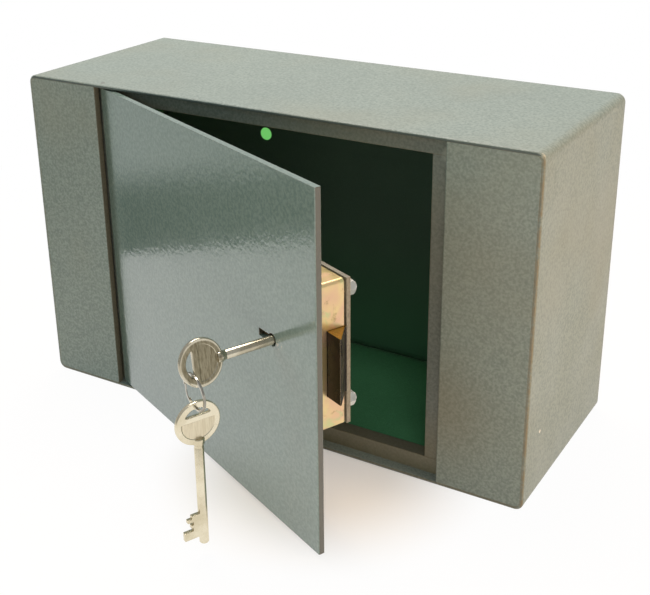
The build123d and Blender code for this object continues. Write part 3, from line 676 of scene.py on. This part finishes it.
def flat_plate(bm, outlines, thickness, bead, place):
    """A plate with rounded edges from closed outlines in XY: the outer one, then any holes."""
    curve = bpy.data.curves.new("outline", "CURVE")
    curve.dimensions = "2D"
    curve.fill_mode = "BOTH"
    curve.extrude = (thickness / 2 - bead) * MM
    curve.bevel_depth = bead * MM
    curve.bevel_resolution = BEAD_STEPS
    curve.offset = -bead * MM
    for outline in outlines:
        spline = curve.splines.new("POLY")
        spline.points.add(len(outline) - 1)
        for point, (x, y) in zip(spline.points, outline):
            point.co = (x * MM, y * MM, 0, 1)
        spline.use_cyclic_u = True
    holder = bpy.data.objects.new("outline", curve)
    mesh = bpy.data.meshes.new_from_object(holder)
    mesh.transform(place)
    bm.from_mesh(mesh)
    bpy.data.objects.remove(holder)
    bpy.data.meshes.remove(mesh)
    bpy.data.curves.remove(curve)


# Keys

KEY_LENGTH = 112.5
BOW_LENGTH = 32.5
BOW_WIDTH = 33.8
BOW_THICKNESS = 3.0
BOW_RIM = 4.4
FIELD_TOP = 17.8
FIELD_SINK = 0.35
SLOT_CHORD = 19.4
SLOT_FOOT = 22.2
SLOT_DEPTH = 5.4
SHANK_RADIUS = 3.4
COLLAR_RADIUS = 4.1
COLLAR_LOW = 79.4
COLLAR_HIGH = 84.6
BIT_THICKNESS = 3.2
BIT_FROM_TIP = 6.9
TALON_STEP = 6.4
TALON_RADIUS = 15.2
LEVER_STEP = 2.4
LEVER_RADII = (8.4, 9.8, 8.0, 12.4, 9.2)
KEY_TURN = math.radians(10.0)
TIP_DEPTH = 40.6
BOW_BEAD = 0.7
FIELD_BEAD = 0.1
BIT_BEAD = 0.18
FIELD_LAP = 0.9
BIT_LAP = 1.0
BOW_STEPS = 96
FIELD_STEPS = 48
ROOF_STEPS = 18
ROOF_SHARE = 0.93

# Rounded lower corner of the slot: share of the half width, height above the foot
SLOT_CORNER = ((0.97, 0.5), (0.90, 0.08), (0.84, 0))

# Half outlines as (radius, height above the tip)
SHANK_PROFILE = (
    (0, 0), (2.0, 0), (2.9, 0.35), (SHANK_RADIUS, 1.1), (SHANK_RADIUS, 77.0),
    (SHANK_RADIUS - 0.25, 77.4), (SHANK_RADIUS - 0.25, 78.0), (SHANK_RADIUS, 78.4),
    (SHANK_RADIUS, 82.0), (0, 82.0)
)
COLLAR_PROFILE = (
    (0, COLLAR_LOW), (COLLAR_RADIUS - 1.0, COLLAR_LOW), (COLLAR_RADIUS - 0.35, COLLAR_LOW + 0.35),
    (COLLAR_RADIUS, COLLAR_LOW + 1.0), (COLLAR_RADIUS, COLLAR_HIGH - 1.1),
    (COLLAR_RADIUS - 0.3, COLLAR_HIGH - 0.4), (COLLAR_RADIUS - 1.0, COLLAR_HIGH), (0, COLLAR_HIGH)
)


def bow_outline():
    """The bow's ellipse, its lowest point at the shank."""
    middle = BOW_LENGTH / 2
    outline = []
    for step in range(BOW_STEPS):
        angle = 2 * math.pi * step / BOW_STEPS
        outline.append((BOW_WIDTH / 2 * math.cos(angle), middle + middle * math.sin(angle)))
    return outline


def slot_outline():
    """The D-shaped slot: a straight foot and an arched roof, with rounded corners."""
    half = SLOT_CHORD / 2
    radius = (half ** 2 + SLOT_DEPTH ** 2) / (2 * SLOT_DEPTH)
    centre = SLOT_FOOT + SLOT_DEPTH - radius
    reach = math.asin(half / radius) * ROOF_SHARE
    corner = [(half * share, SLOT_FOOT + rise) for share, rise in SLOT_CORNER]
    outline = [(-x, y) for x, y in corner] + [(x, y) for x, y in reversed(corner)]
    for step in range(ROOF_STEPS + 1):
        angle = reach - 2 * reach * step / ROOF_STEPS
        outline.append((radius * math.sin(angle), centre + radius * math.cos(angle)))
    return outline


def field_outline(grow=0.0):
    """The sunk field inside the rim, cut off straight below the bar."""
    across = BOW_WIDTH / 2 - BOW_RIM + grow
    along = BOW_LENGTH / 2 - BOW_RIM + grow
    middle = BOW_LENGTH / 2
    top = FIELD_TOP + grow
    start = math.asin((top - middle) / along)
    sweep = math.pi + 2 * start
    outline = []
    for step in range(FIELD_STEPS + 1):
        angle = start - sweep * step / FIELD_STEPS
        outline.append((across * math.cos(angle), middle + along * math.sin(angle)))
    return outline


def bit_outline():
    """The bit's stepped profile: the talon step nearest the tip, then the lever steps."""
    inner = SHANK_RADIUS - BIT_LAP
    outline = [(-inner, BIT_FROM_TIP), (-TALON_RADIUS, BIT_FROM_TIP)]
    level = BIT_FROM_TIP + TALON_STEP
    outline.append((-TALON_RADIUS, level))
    for radius in LEVER_RADII:
        outline.append((-radius, level))
        level += LEVER_STEP
        outline.append((-radius, level))
    outline.append((-inner, level))
    return outline


def key_mesh(place):
    """A key standing on its tip: bow in the XZ plane, bit towards -X."""
    bm = bmesh.new()
    upright = place @ Matrix.Translation((0, 0, (KEY_LENGTH - BOW_LENGTH) * MM))
    upright = upright @ Matrix.Rotation(math.pi / 2, 4, "X")
    bow = [bow_outline(), slot_outline(), field_outline()]
    flat_plate(bm, bow, BOW_THICKNESS, BOW_BEAD, upright)
    field = [field_outline(grow=FIELD_LAP)]
    flat_plate(bm, field, BOW_THICKNESS - 2 * FIELD_SINK, FIELD_BEAD, upright)
    lathe(bm, SHANK_PROFILE, place)
    lathe(bm, COLLAR_PROFILE, place)
    bit_place = place @ Matrix.Rotation(math.pi / 2, 4, "X")
    flat_plate(bm, [bit_outline()], BIT_THICKNESS, BIT_BEAD, bit_place)
    return bm


# Colours of each key's metal: rim light and dark, then field light and dark. The key in the lock takes
# darker ones than the spare: a painted dark reflection.
REFLECTION_DARKENED_NICKEL = (
    srgb(214, 206, 184), srgb(180, 170, 146), srgb(166, 157, 132), srgb(122, 112, 88)
)
BRIGHT_NICKEL = (
    srgb(236, 226, 200), srgb(214, 202, 172), srgb(234, 222, 194), srgb(212, 198, 168)
)
REFLECTION_DARKENED_REACH = 15.4 * MM
BRIGHT_REACH = 16.5 * MM
SUNK_FULL = 0.20 * MM
SUNK_END = 0.05 * MM


def key_metal(name, place, light, dark, field_light, field_dark, reflection_darkened_centre=False):
    """Nickel of one key: a polished rim round a duller field with fine upright brush marks."""
    s = Shader(name)
    normal = (place.to_3x3() @ Vector((0, 1, 0))).normalized()
    middle = place @ Vector((0, 0, (KEY_LENGTH - BOW_LENGTH / 2) * MM))
    flat = s.ramp(s.math("ABSOLUTE", s.facing(normal)), 0.80, 0.95)
    # On the key in the lock the whole middle of the bow, bar too, takes the field's darker colours: a
    # painted dark reflection.
    if reflection_darkened_centre:
        field = s.times(flat, s.near(middle, REFLECTION_DARKENED_REACH, soft=0.06))
    else:
        face = BOW_THICKNESS / 2 * MM
        depth = s.off_plane(middle, normal)
        sunk = s.ramp(depth, face - SUNK_FULL, face - SUNK_END, 1.0, 0.0)
        field = s.times(sunk, flat, s.near(middle, BRIGHT_REACH, soft=0.06))
    brushed = s.noise(900.0, detail=4.0, rough=0.65, vector=s.place(scale=(1, 1, 0.08)))
    cloud = s.noise(45.0, detail=4.0, rough=0.6)
    rim_colour = s.mix(s.ramp(cloud, 0.35, 0.7), light, dark)
    field_colour = s.mix(s.ramp(brushed, 0.32, 0.68), field_dark, field_light)
    tarnish = s.noise(110.0, detail=5.0, rough=0.7)
    colour = s.mix(field, rim_colour, field_colour)
    colour = s.mix(s.ramp(tarnish, 0.60, 0.74, 0.0, 0.35), colour, field_dark)
    shine = s.math("ADD", s.ramp(brushed, 0.3, 0.7, 0.20, 0.28), s.times(field, 0.12))
    bumps = s.bump(brushed, 0.05, 0.06 * MM, below=s.rounded(STEEL_SOFTNESS))
    return s.set(Base_Color=colour, Metallic=1.0, Roughness=shine, Normal=bumps)


SMOOTH_BELOW = math.radians(32.0)


def flatten_shading(obj):
    """Shades smooth only across gentle edges."""
    mesh = obj.data
    bm = bmesh.new()
    bm.from_mesh(mesh)
    for edge in bm.edges:
        edge.smooth = edge.is_manifold and edge.calc_face_angle(0.0) < SMOOTH_BELOW
    bm.to_mesh(mesh)
    bm.free()


def keys():
    """The key in the lock lies along the door's normal, and the spare hangs tip down."""
    lying = Matrix.Rotation(-KEY_TURN, 4, "Y") @ Matrix.Rotation(math.pi / 2, 4, "X")
    tip = KEYHOLE + INTO_DOOR * TIP_DEPTH * MM
    place = Matrix.Translation(tip) @ AJAR @ lying @ Matrix.Rotation(math.pi / 2, 4, "Z")
    reflection_darkened = key_metal("reflection_darkened_nickel", place, *REFLECTION_DARKENED_NICKEL, reflection_darkened_centre=True)
    obj = piece(
        "lock_key_finished", key_mesh(place), reflection_darkened, "key", replaced=("lock_key",)
    )
    flatten_shading(obj)
    tip = JOINT_PLACES["spare_swing"].copy()
    tip.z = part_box("spare_key")[0].z
    place = Matrix.Translation(tip) @ AJAR @ Matrix.Rotation(math.pi / 2, 4, "Z")
    bright = key_metal("bright_nickel", place, *BRIGHT_NICKEL)
    obj = piece(
        "spare_key_finished", key_mesh(place), bright, "spare",
        replaced=("spare_key",)
    )
    flatten_shading(obj)


# Split ring

RING_RADIUS = 13.2
RING_HALF_WIDTH = 0.85
RING_HALF_THICKNESS = 0.4
RING_CORNER = 0.14
RING_STEP = 0.42
RING_CROSSING = 0.40
RING_LEAN = math.radians(4.0)
RING_SPLIT_AT = math.radians(200.0)
RING_SEGMENTS = 168


def split_ring():
    """Flat wire wound twice, stepping from one winding to the other where its ends lie."""
    top = JOINT_PLACES["ring_swing"]
    place = Matrix.Translation(top) @ AJAR @ Matrix.Rotation(RING_LEAN, 4, "X")
    place = place @ Matrix.Translation((0, 0, -RING_RADIUS * MM))
    place = place @ Matrix.Rotation(math.pi / 2, 4, "X")
    wide, thick, corner = RING_HALF_WIDTH, RING_HALF_THICKNESS, RING_CORNER
    section = [
        (wide, thick - corner), (wide - corner, thick), (corner - wide, thick),
        (-wide, thick - corner), (-wide, corner - thick), (corner - wide, -thick),
        (wide - corner, -thick), (wide, corner - thick)
    ]
    bm = bmesh.new()
    start = RING_CROSSING
    end = 4 * math.pi - RING_CROSSING
    rings = []
    for step in range(RING_SEGMENTS + 1):
        turn = start + (end - start) * step / RING_SEGMENTS
        across = min(1.0, max(0.0, (turn - 2 * math.pi + RING_CROSSING) / (2 * RING_CROSSING)))
        level = RING_STEP * (2 * across * across * (3 - 2 * across) - 1)
        angle = turn + RING_SPLIT_AT
        ring = []
        for out, up in section:
            radius = RING_RADIUS + out
            point = Vector((radius * math.cos(angle), radius * math.sin(angle), level + up))
            ring.append(bm.verts.new(place @ (point * MM)))
        rings.append(ring)
    for lower, upper in zip(rings, rings[1:]):
        for index in range(len(section)):
            after = (index + 1) % len(section)
            bm.faces.new((lower[index], lower[after], upper[after], upper[index]))
    bm.faces.new(rings[0])
    bm.faces.new(rings[-1])
    obj = piece(
        "split_ring_wound", bm, SPRING_STEEL, "ring", replaced=("split_ring",)
    )
    flatten_shading(obj)


# Studs, washers and nuts that hold the cover

STUD_ALONG = (-45.3, 32.3)
STUD_ABOVE = (-43.9, 40.6)
COVER_FAR = 37.6
STUD_START = 4.8
WASHER_THICKNESS = 1.4
WASHER_RADIUS = 6.0
NUT_APOTHEM = 5.0
NUT_THICKNESS = 5.0
STUD_RADIUS = 3.0
STUD_PROUD = 2.6
THREAD_PITCH = 1.0
THREAD_DEPTH = 0.45
STUD_SEGMENTS = 32
WASHER_BORE = STUD_RADIUS + 0.05
WASHER_SOFTNESS = 0.25
NUT_CROWN = NUT_APOTHEM * 0.98
NUT_SINK = 0.5
NUT_SLOPE = math.pi / 6


def stud_places():
    """A frame at the door's face for each stud, with Z into the door."""
    for along in STUD_ALONG:
        for above in STUD_ABOVE:
            middle = KEYHOLE + ALONG_DOOR * along * MM + Vector((0, 0, above * MM))
            yield Matrix.Translation(middle) @ AJAR @ Matrix.Rotation(-math.pi / 2, 4, "X")


def stud_mesh(bm, place):
    """Plain shank, then a thread as far as its rounded end."""
    end = COVER_FAR + WASHER_THICKNESS + NUT_THICKNESS + STUD_PROUD
    profile = [(0, STUD_START), (STUD_RADIUS, STUD_START)]
    height = COVER_FAR + WASHER_THICKNESS + NUT_THICKNESS - 2 * THREAD_PITCH
    while height < end - THREAD_PITCH:
        profile.append((STUD_RADIUS, height))
        profile.append((STUD_RADIUS - THREAD_DEPTH, height + THREAD_PITCH / 2))
        height += THREAD_PITCH
    profile += [
        (STUD_RADIUS - 0.1, height), (STUD_RADIUS - 0.7, end - 0.15),
        (STUD_RADIUS - 1.1, end), (0, end)
    ]
    lathe(bm, profile, place, segments=STUD_SEGMENTS)


def washer_mesh(bm, place):
    """Flat ring with its seen edges rounded off."""
    low, high = COVER_FAR, COVER_FAR + WASHER_THICKNESS
    bore, rim, soft = WASHER_BORE, WASHER_RADIUS, WASHER_SOFTNESS
    lathe(bm, [
        (bore, low), (rim, low), (rim, high - soft), (rim - soft, high),
        (bore + soft, high), (bore, high - soft)
    ], place, closed=True)


def nut_mesh(bm, place):
    """Hexagon whose corners are turned off at 30 degrees, with a countersunk bore."""
    low = COVER_FAR + WASHER_THICKNESS
    high = low + NUT_THICKNESS
    columns = []
    for step in range(ROUND):
        angle = 2 * math.pi * step / ROUND
        corner = (angle % (math.pi / 3)) - math.pi / 6
        reach = NUT_APOTHEM / math.cos(corner)
        drop = (reach - NUT_CROWN) * math.tan(NUT_SLOPE)
        profile = [
            (STUD_RADIUS, low), (NUT_CROWN, low), (reach, low + drop), (reach, high - drop),
            (NUT_CROWN, high), (STUD_RADIUS + NUT_SINK, high), (STUD_RADIUS, high - NUT_SINK)
        ]
        column = []
        for radius, height in profile:
            point = Vector((radius * math.cos(angle), radius * math.sin(angle), height))
            column.append(bm.verts.new(place @ (point * MM)))
        columns.append(column)
    for step, column in enumerate(columns):
        beside = columns[(step + 1) % ROUND]
        for index in range(len(column)):
            after = (index + 1) % len(column)
            bm.faces.new((column[index], beside[index], beside[after], column[after]))


def fasteners():
    for name, make, node in (
        ("threaded_studs", stud_mesh, "lock_studs"),
        ("round_washers", washer_mesh, "stud_washers"),
        ("hexagon_nuts", nut_mesh, "stud_nuts"),
    ):
        bm = bmesh.new()
        for place in stud_places():
            make(bm, place)
        obj = piece(name, bm, ZINC, "door", replaced=(node,))
        flatten_shading(obj)


# Springs of the lock, which give as the key turns; here each is built in one shape

WIRE_RADIUS = 0.5
COIL_RADIUS = 3.5
COIL_TURNS = 6
COIL_STEPS = 24
WIRE_SIDES = 8
CLOSED_TURNS = 0.9
LEAF_ABOVE = 0.8


def coil_height(turn, length):
    """How far along the coil a turn stands: its ends are wound close, the rest evenly."""
    wire = 2 * WIRE_RADIUS
    closing = min(turn, CLOSED_TURNS) + max(0.0, turn - COIL_TURNS + CLOSED_TURNS)
    share = min(1.0, max(0.0, (turn - CLOSED_TURNS) / (COIL_TURNS - 2 * CLOSED_TURNS)))
    return WIRE_RADIUS + wire * closing + (length - wire - 2 * wire * CLOSED_TURNS) * share


def bolt_coil():
    """Round wire wound from the anchor to the bolt's head, at the CAD spring's length; the real spring
    shortens as the bolt draws in.
    """
    slide = JOINTS["bolt_slide"]
    start = Vector(slide["deforming_nodes"][0]["fixed_end_m"])
    length = max((v.co - start).dot(ALONG_DOOR) for v in NODES["bolt_spring"].data.vertices)
    up = Vector((0, 0, 1))
    across = ALONG_DOOR.cross(up)
    bm = bmesh.new()
    rings = []
    for step in range(COIL_TURNS * COIL_STEPS + 1):
        turn = step / COIL_STEPS
        angle = 2 * math.pi * turn
        outward = up * math.cos(angle) + across * math.sin(angle)
        along = ALONG_DOOR * coil_height(turn, length / MM) * MM
        middle = start + outward * COIL_RADIUS * MM + along
        ring = []
        for side in range(WIRE_SIDES):
            round_wire = 2 * math.pi * side / WIRE_SIDES
            offset = outward * math.cos(round_wire) + ALONG_DOOR * math.sin(round_wire)
            ring.append(bm.verts.new(middle + offset * WIRE_RADIUS * MM))
        rings.append(ring)
    for lower, upper in zip(rings, rings[1:]):
        for side in range(WIRE_SIDES):
            after = (side + 1) % WIRE_SIDES
            bm.faces.new((lower[side], lower[after], upper[after], upper[side]))
    bm.faces.new(rings[0])
    bm.faces.new(rings[-1])
    obj = piece(
        "bolt_spring_wound", bm, SPRING_STEEL, "door", replaced=("bolt_spring",)
    )
    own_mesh(obj)


def leaf_springs():
    """The levers' leaf springs, copied from their CAD node's mesh; the real ones flatten against the
    case's roof as the levers lift.
    """
    bm = bmesh.new()
    bm.from_mesh(NODES["lever_springs"].data)
    obj = piece(
        "lever_leaf_springs", bm, SPRING_STEEL, "door",
        replaced=("lever_springs",), smooth=False
    )
    root = Vector(JOINTS["lever_lift"]["deforming_nodes"][0]["fixed_end_m"])
    root.z += LEAF_ABOVE * MM
    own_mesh(obj)


# Studio

CAMERA_PLACE = Vector((0.4621, -0.8480, 0.3585))
CAMERA_AZIMUTH = 30.82
CAMERA_ELEVATION = 21.79
CAMERA_ROLL = -0.52
CAMERA_LENS = 62.25
CAMERA_SHIFT_Y = -0.0885
CAMERA_SENSOR = 36.0
CAMERA_NEAREST = 0.01
CAMERA_FARTHEST = 50.0


def camera():
    data = bpy.data.cameras.new("camera")
    data.sensor_fit = "HORIZONTAL"
    data.sensor_width = CAMERA_SENSOR
    data.lens = CAMERA_LENS
    data.shift_y = CAMERA_SHIFT_Y
    data.clip_start = CAMERA_NEAREST
    data.clip_end = CAMERA_FARTHEST
    obj = bpy.data.objects.new("camera", data)
    tilt = Matrix.Rotation(math.radians(90.0 - CAMERA_ELEVATION), 4, "X")
    turn = Matrix.Rotation(math.radians(CAMERA_AZIMUTH), 4, "Z")
    roll = Matrix.Rotation(math.radians(CAMERA_ROLL), 4, "Z")
    obj.matrix_world = Matrix.Translation(CAMERA_PLACE) @ turn @ tilt @ roll
    bpy.context.scene.collection.objects.link(obj)
    bpy.context.scene.camera = obj


def card(name, size, place, material):
    """A flat level stage card."""
    bm = bmesh.new()
    bmesh.ops.create_grid(bm, x_segments=1, y_segments=1, size=0.5)
    mesh = bpy.data.meshes.new(name)
    bm.to_mesh(mesh)
    bm.free()
    mesh.materials.append(material)
    obj = bpy.data.objects.new(name, mesh)
    obj.matrix_world = Matrix.Translation(place) @ Matrix.Diagonal((size[0], size[1], 1.0, 1.0))
    bpy.context.scene.collection.objects.link(obj)
    return obj


# The floor shows the camera a cream colour that tints only its shaded parts, and near the shadow pool
# below the open door it gives little of its own white: a painted pool of warm shade.
FLOOR_SEEN = rgb(1.0, 0.84, 0.64)
FLOOR_BOUNCE = rgb(0.47, 0.385, 0.30)
SHADOW_POOL = Vector((0.07, -0.20, FLOOR_Z))
POOL_WHITE = 0.35
NEAR_WHITE = 0.97
POOL_FROM = 0.04
POOL_TO = 0.14
FAR_FROM = 0.40
FAR_TO = 0.90
FLOOR_SIZE = (12.0, 12.0)
CARD_LIFT = 0.5 * MM


def floor_material():
    """Pale floor: mostly its own white to the camera, so that only soft shadows show."""
    s = Shader("floor_white")
    path = s.nodes.new("ShaderNodeLightPath")
    seen = s.math("MAXIMUM", path.outputs["Is Camera Ray"], path.outputs["Is Glossy Ray"])
    seen = s.math("MAXIMUM", seen, path.outputs["Is Transmission Ray"])
    s.set(Base_Color=s.mix(seen, FLOOR_BOUNCE, FLOOR_SEEN), Roughness=0.9, Specular_IOR_Level=0.1)
    white = s.nodes.new("ShaderNodeEmission")
    white.inputs["Color"].default_value = rgb(1.0, 1.0, 1.0)
    white.inputs["Strength"].default_value = 1.0
    blend = s.nodes.new("ShaderNodeMixShader")
    away = s.world_distance(SHADOW_POOL)
    near = s.ramp(away, POOL_FROM, POOL_TO, POOL_WHITE, NEAR_WHITE)
    far = s.ramp(away, FAR_FROM, FAR_TO, 0.0, 1.0 - NEAR_WHITE)
    own_white = s.math("ADD", near, far)
    s.join(s.times(seen, own_white), blend.inputs["Fac"])
    s.join(s.surface.outputs[0], blend.inputs[1])
    s.join(white.outputs[0], blend.inputs[2])
    s.join(blend.outputs[0], s.output.inputs["Surface"])
    return s.material


DARK_FROM_X = -0.465
PALE_FROM_X = -0.83
DARK_TO_X = -0.65
DARK_SIZE = (3.0, 6.0)


def dark_end():
    """A dark stage card left of the object, paler further off, seen only in reflections."""
    s = Shader("dark_end")
    paler = s.ramp(s.world_x(), PALE_FROM_X, DARK_TO_X, 0.55, 0.0)
    s.set(
        Base_Color=rgb(0.03, 0.035, 0.035), Roughness=1.0, Specular_IOR_Level=0.0,
        Emission_Color=rgb(0.95, 1.0, 0.98), Emission_Strength=paler
    )
    place = (DARK_FROM_X - DARK_SIZE[0] / 2, 0, FLOOR_Z + CARD_LIFT)
    obj = card("dark_end", DARK_SIZE, place, s.material)
    obj.visible_camera = False
    obj.visible_diffuse = False
    obj.visible_transmission = False
    obj.visible_shadow = False


def area_light(name, place, aim, size, energy, colour, in_gloss):
    """A soft rectangular lamp; one with in_gloss false makes no bright patch in metal or gloss."""
    data = bpy.data.lights.new(name, "AREA")
    data.shape = "RECTANGLE"
    data.size = size[0]
    data.size_y = size[1]
    data.energy = energy
    data.color = colour
    obj = bpy.data.objects.new(name, data)
    obj.location = place
    direction = Vector(aim) - Vector(place)
    obj.rotation_euler = direction.to_track_quat("-Z", "Y").to_euler()
    obj.visible_glossy = in_gloss
    obj.visible_camera = False
    bpy.context.scene.collection.objects.link(obj)


WORLD_LIGHT = 0.17
WORLD_IN_GLOSS = 0.45


def world():
    """Soft cool light all round, and plain white where the camera looks past the floor."""
    data = bpy.data.worlds.new("studio")
    bpy.context.scene.world = data
    data.use_nodes = True
    nodes = data.node_tree.nodes
    links = data.node_tree.links
    path = nodes.new("ShaderNodeLightPath")
    output = nodes["World Output"]

    def background(colour, strength):
        node = nodes.new("ShaderNodeBackground")
        node.inputs["Color"].default_value = colour
        node.inputs["Strength"].default_value = strength
        return node.outputs[0]

    def blend(factor, first, second):
        node = nodes.new("ShaderNodeMixShader")
        links.new(factor, node.inputs["Fac"])
        links.new(first, node.inputs[1])
        links.new(second, node.inputs[2])
        return node.outputs[0]

    nodes.remove(nodes["Background"])
    light = background(rgb(0.90, 0.96, 1.0), WORLD_LIGHT)
    gloss = background(rgb(0.96, 0.98, 1.0), WORLD_IN_GLOSS)
    white = background(rgb(1.0, 1.0, 1.0), 1.0)
    light = blend(path.outputs["Is Glossy Ray"], light, gloss)
    light = blend(path.outputs["Is Transmission Ray"], light, white)
    links.new(blend(path.outputs["Is Camera Ray"], light, white), output.inputs["Surface"])


# Name, place, aim, size, watts, colour, and whether it shows in metal and gloss
LAMPS = (
    ("overhead", (-0.5, 0.45, 2.1), (0, -0.1, 0), (1.4, 1.2), 62.5, (1.0, 0.945, 0.905), True),
    ("warm_side", (1.4, -0.15, 0.40), (0.2, -0.1, -0.1), (0.9, 0.6), 10.0, (1.0, 0.79, 0.60), False),
    ("front_right", (0.7, -1.2, 1.8), (0.1, -0.1, -0.1), (0.5, 0.5), 5.0, (0.96, 0.98, 1.0), False),
    ("low_front", (0.15, -0.85, -0.11), (0.05, -0.2, -0.07), (1.2, 0.2), 2.7, (1.0, 0.95, 0.86), False),
    ("low_side", (0.85, -0.2, -0.11), (0.23, -0.09, -0.08), (0.8, 0.2), 1.8, (1.0, 0.76, 0.52), False),
    ("cool_left", (-1.5, -1.7, 0.8), (-0.1, -0.15, 0), (1.0, 0.8), 8.2, (0.50, 0.90, 1.0), False),
)


def studio():
    world()
    card("floor", FLOOR_SIZE, (0, 0, FLOOR_Z - CARD_LIFT), floor_material())
    dark_end()
    for lamp in LAMPS:
        area_light(*lamp)


dress_nodes()
felts()
keys()
split_ring()
fasteners()
bolt_coil()
leaf_springs()
studio()
camera()

bpy.context.scene.view_settings.view_transform = "Standard"
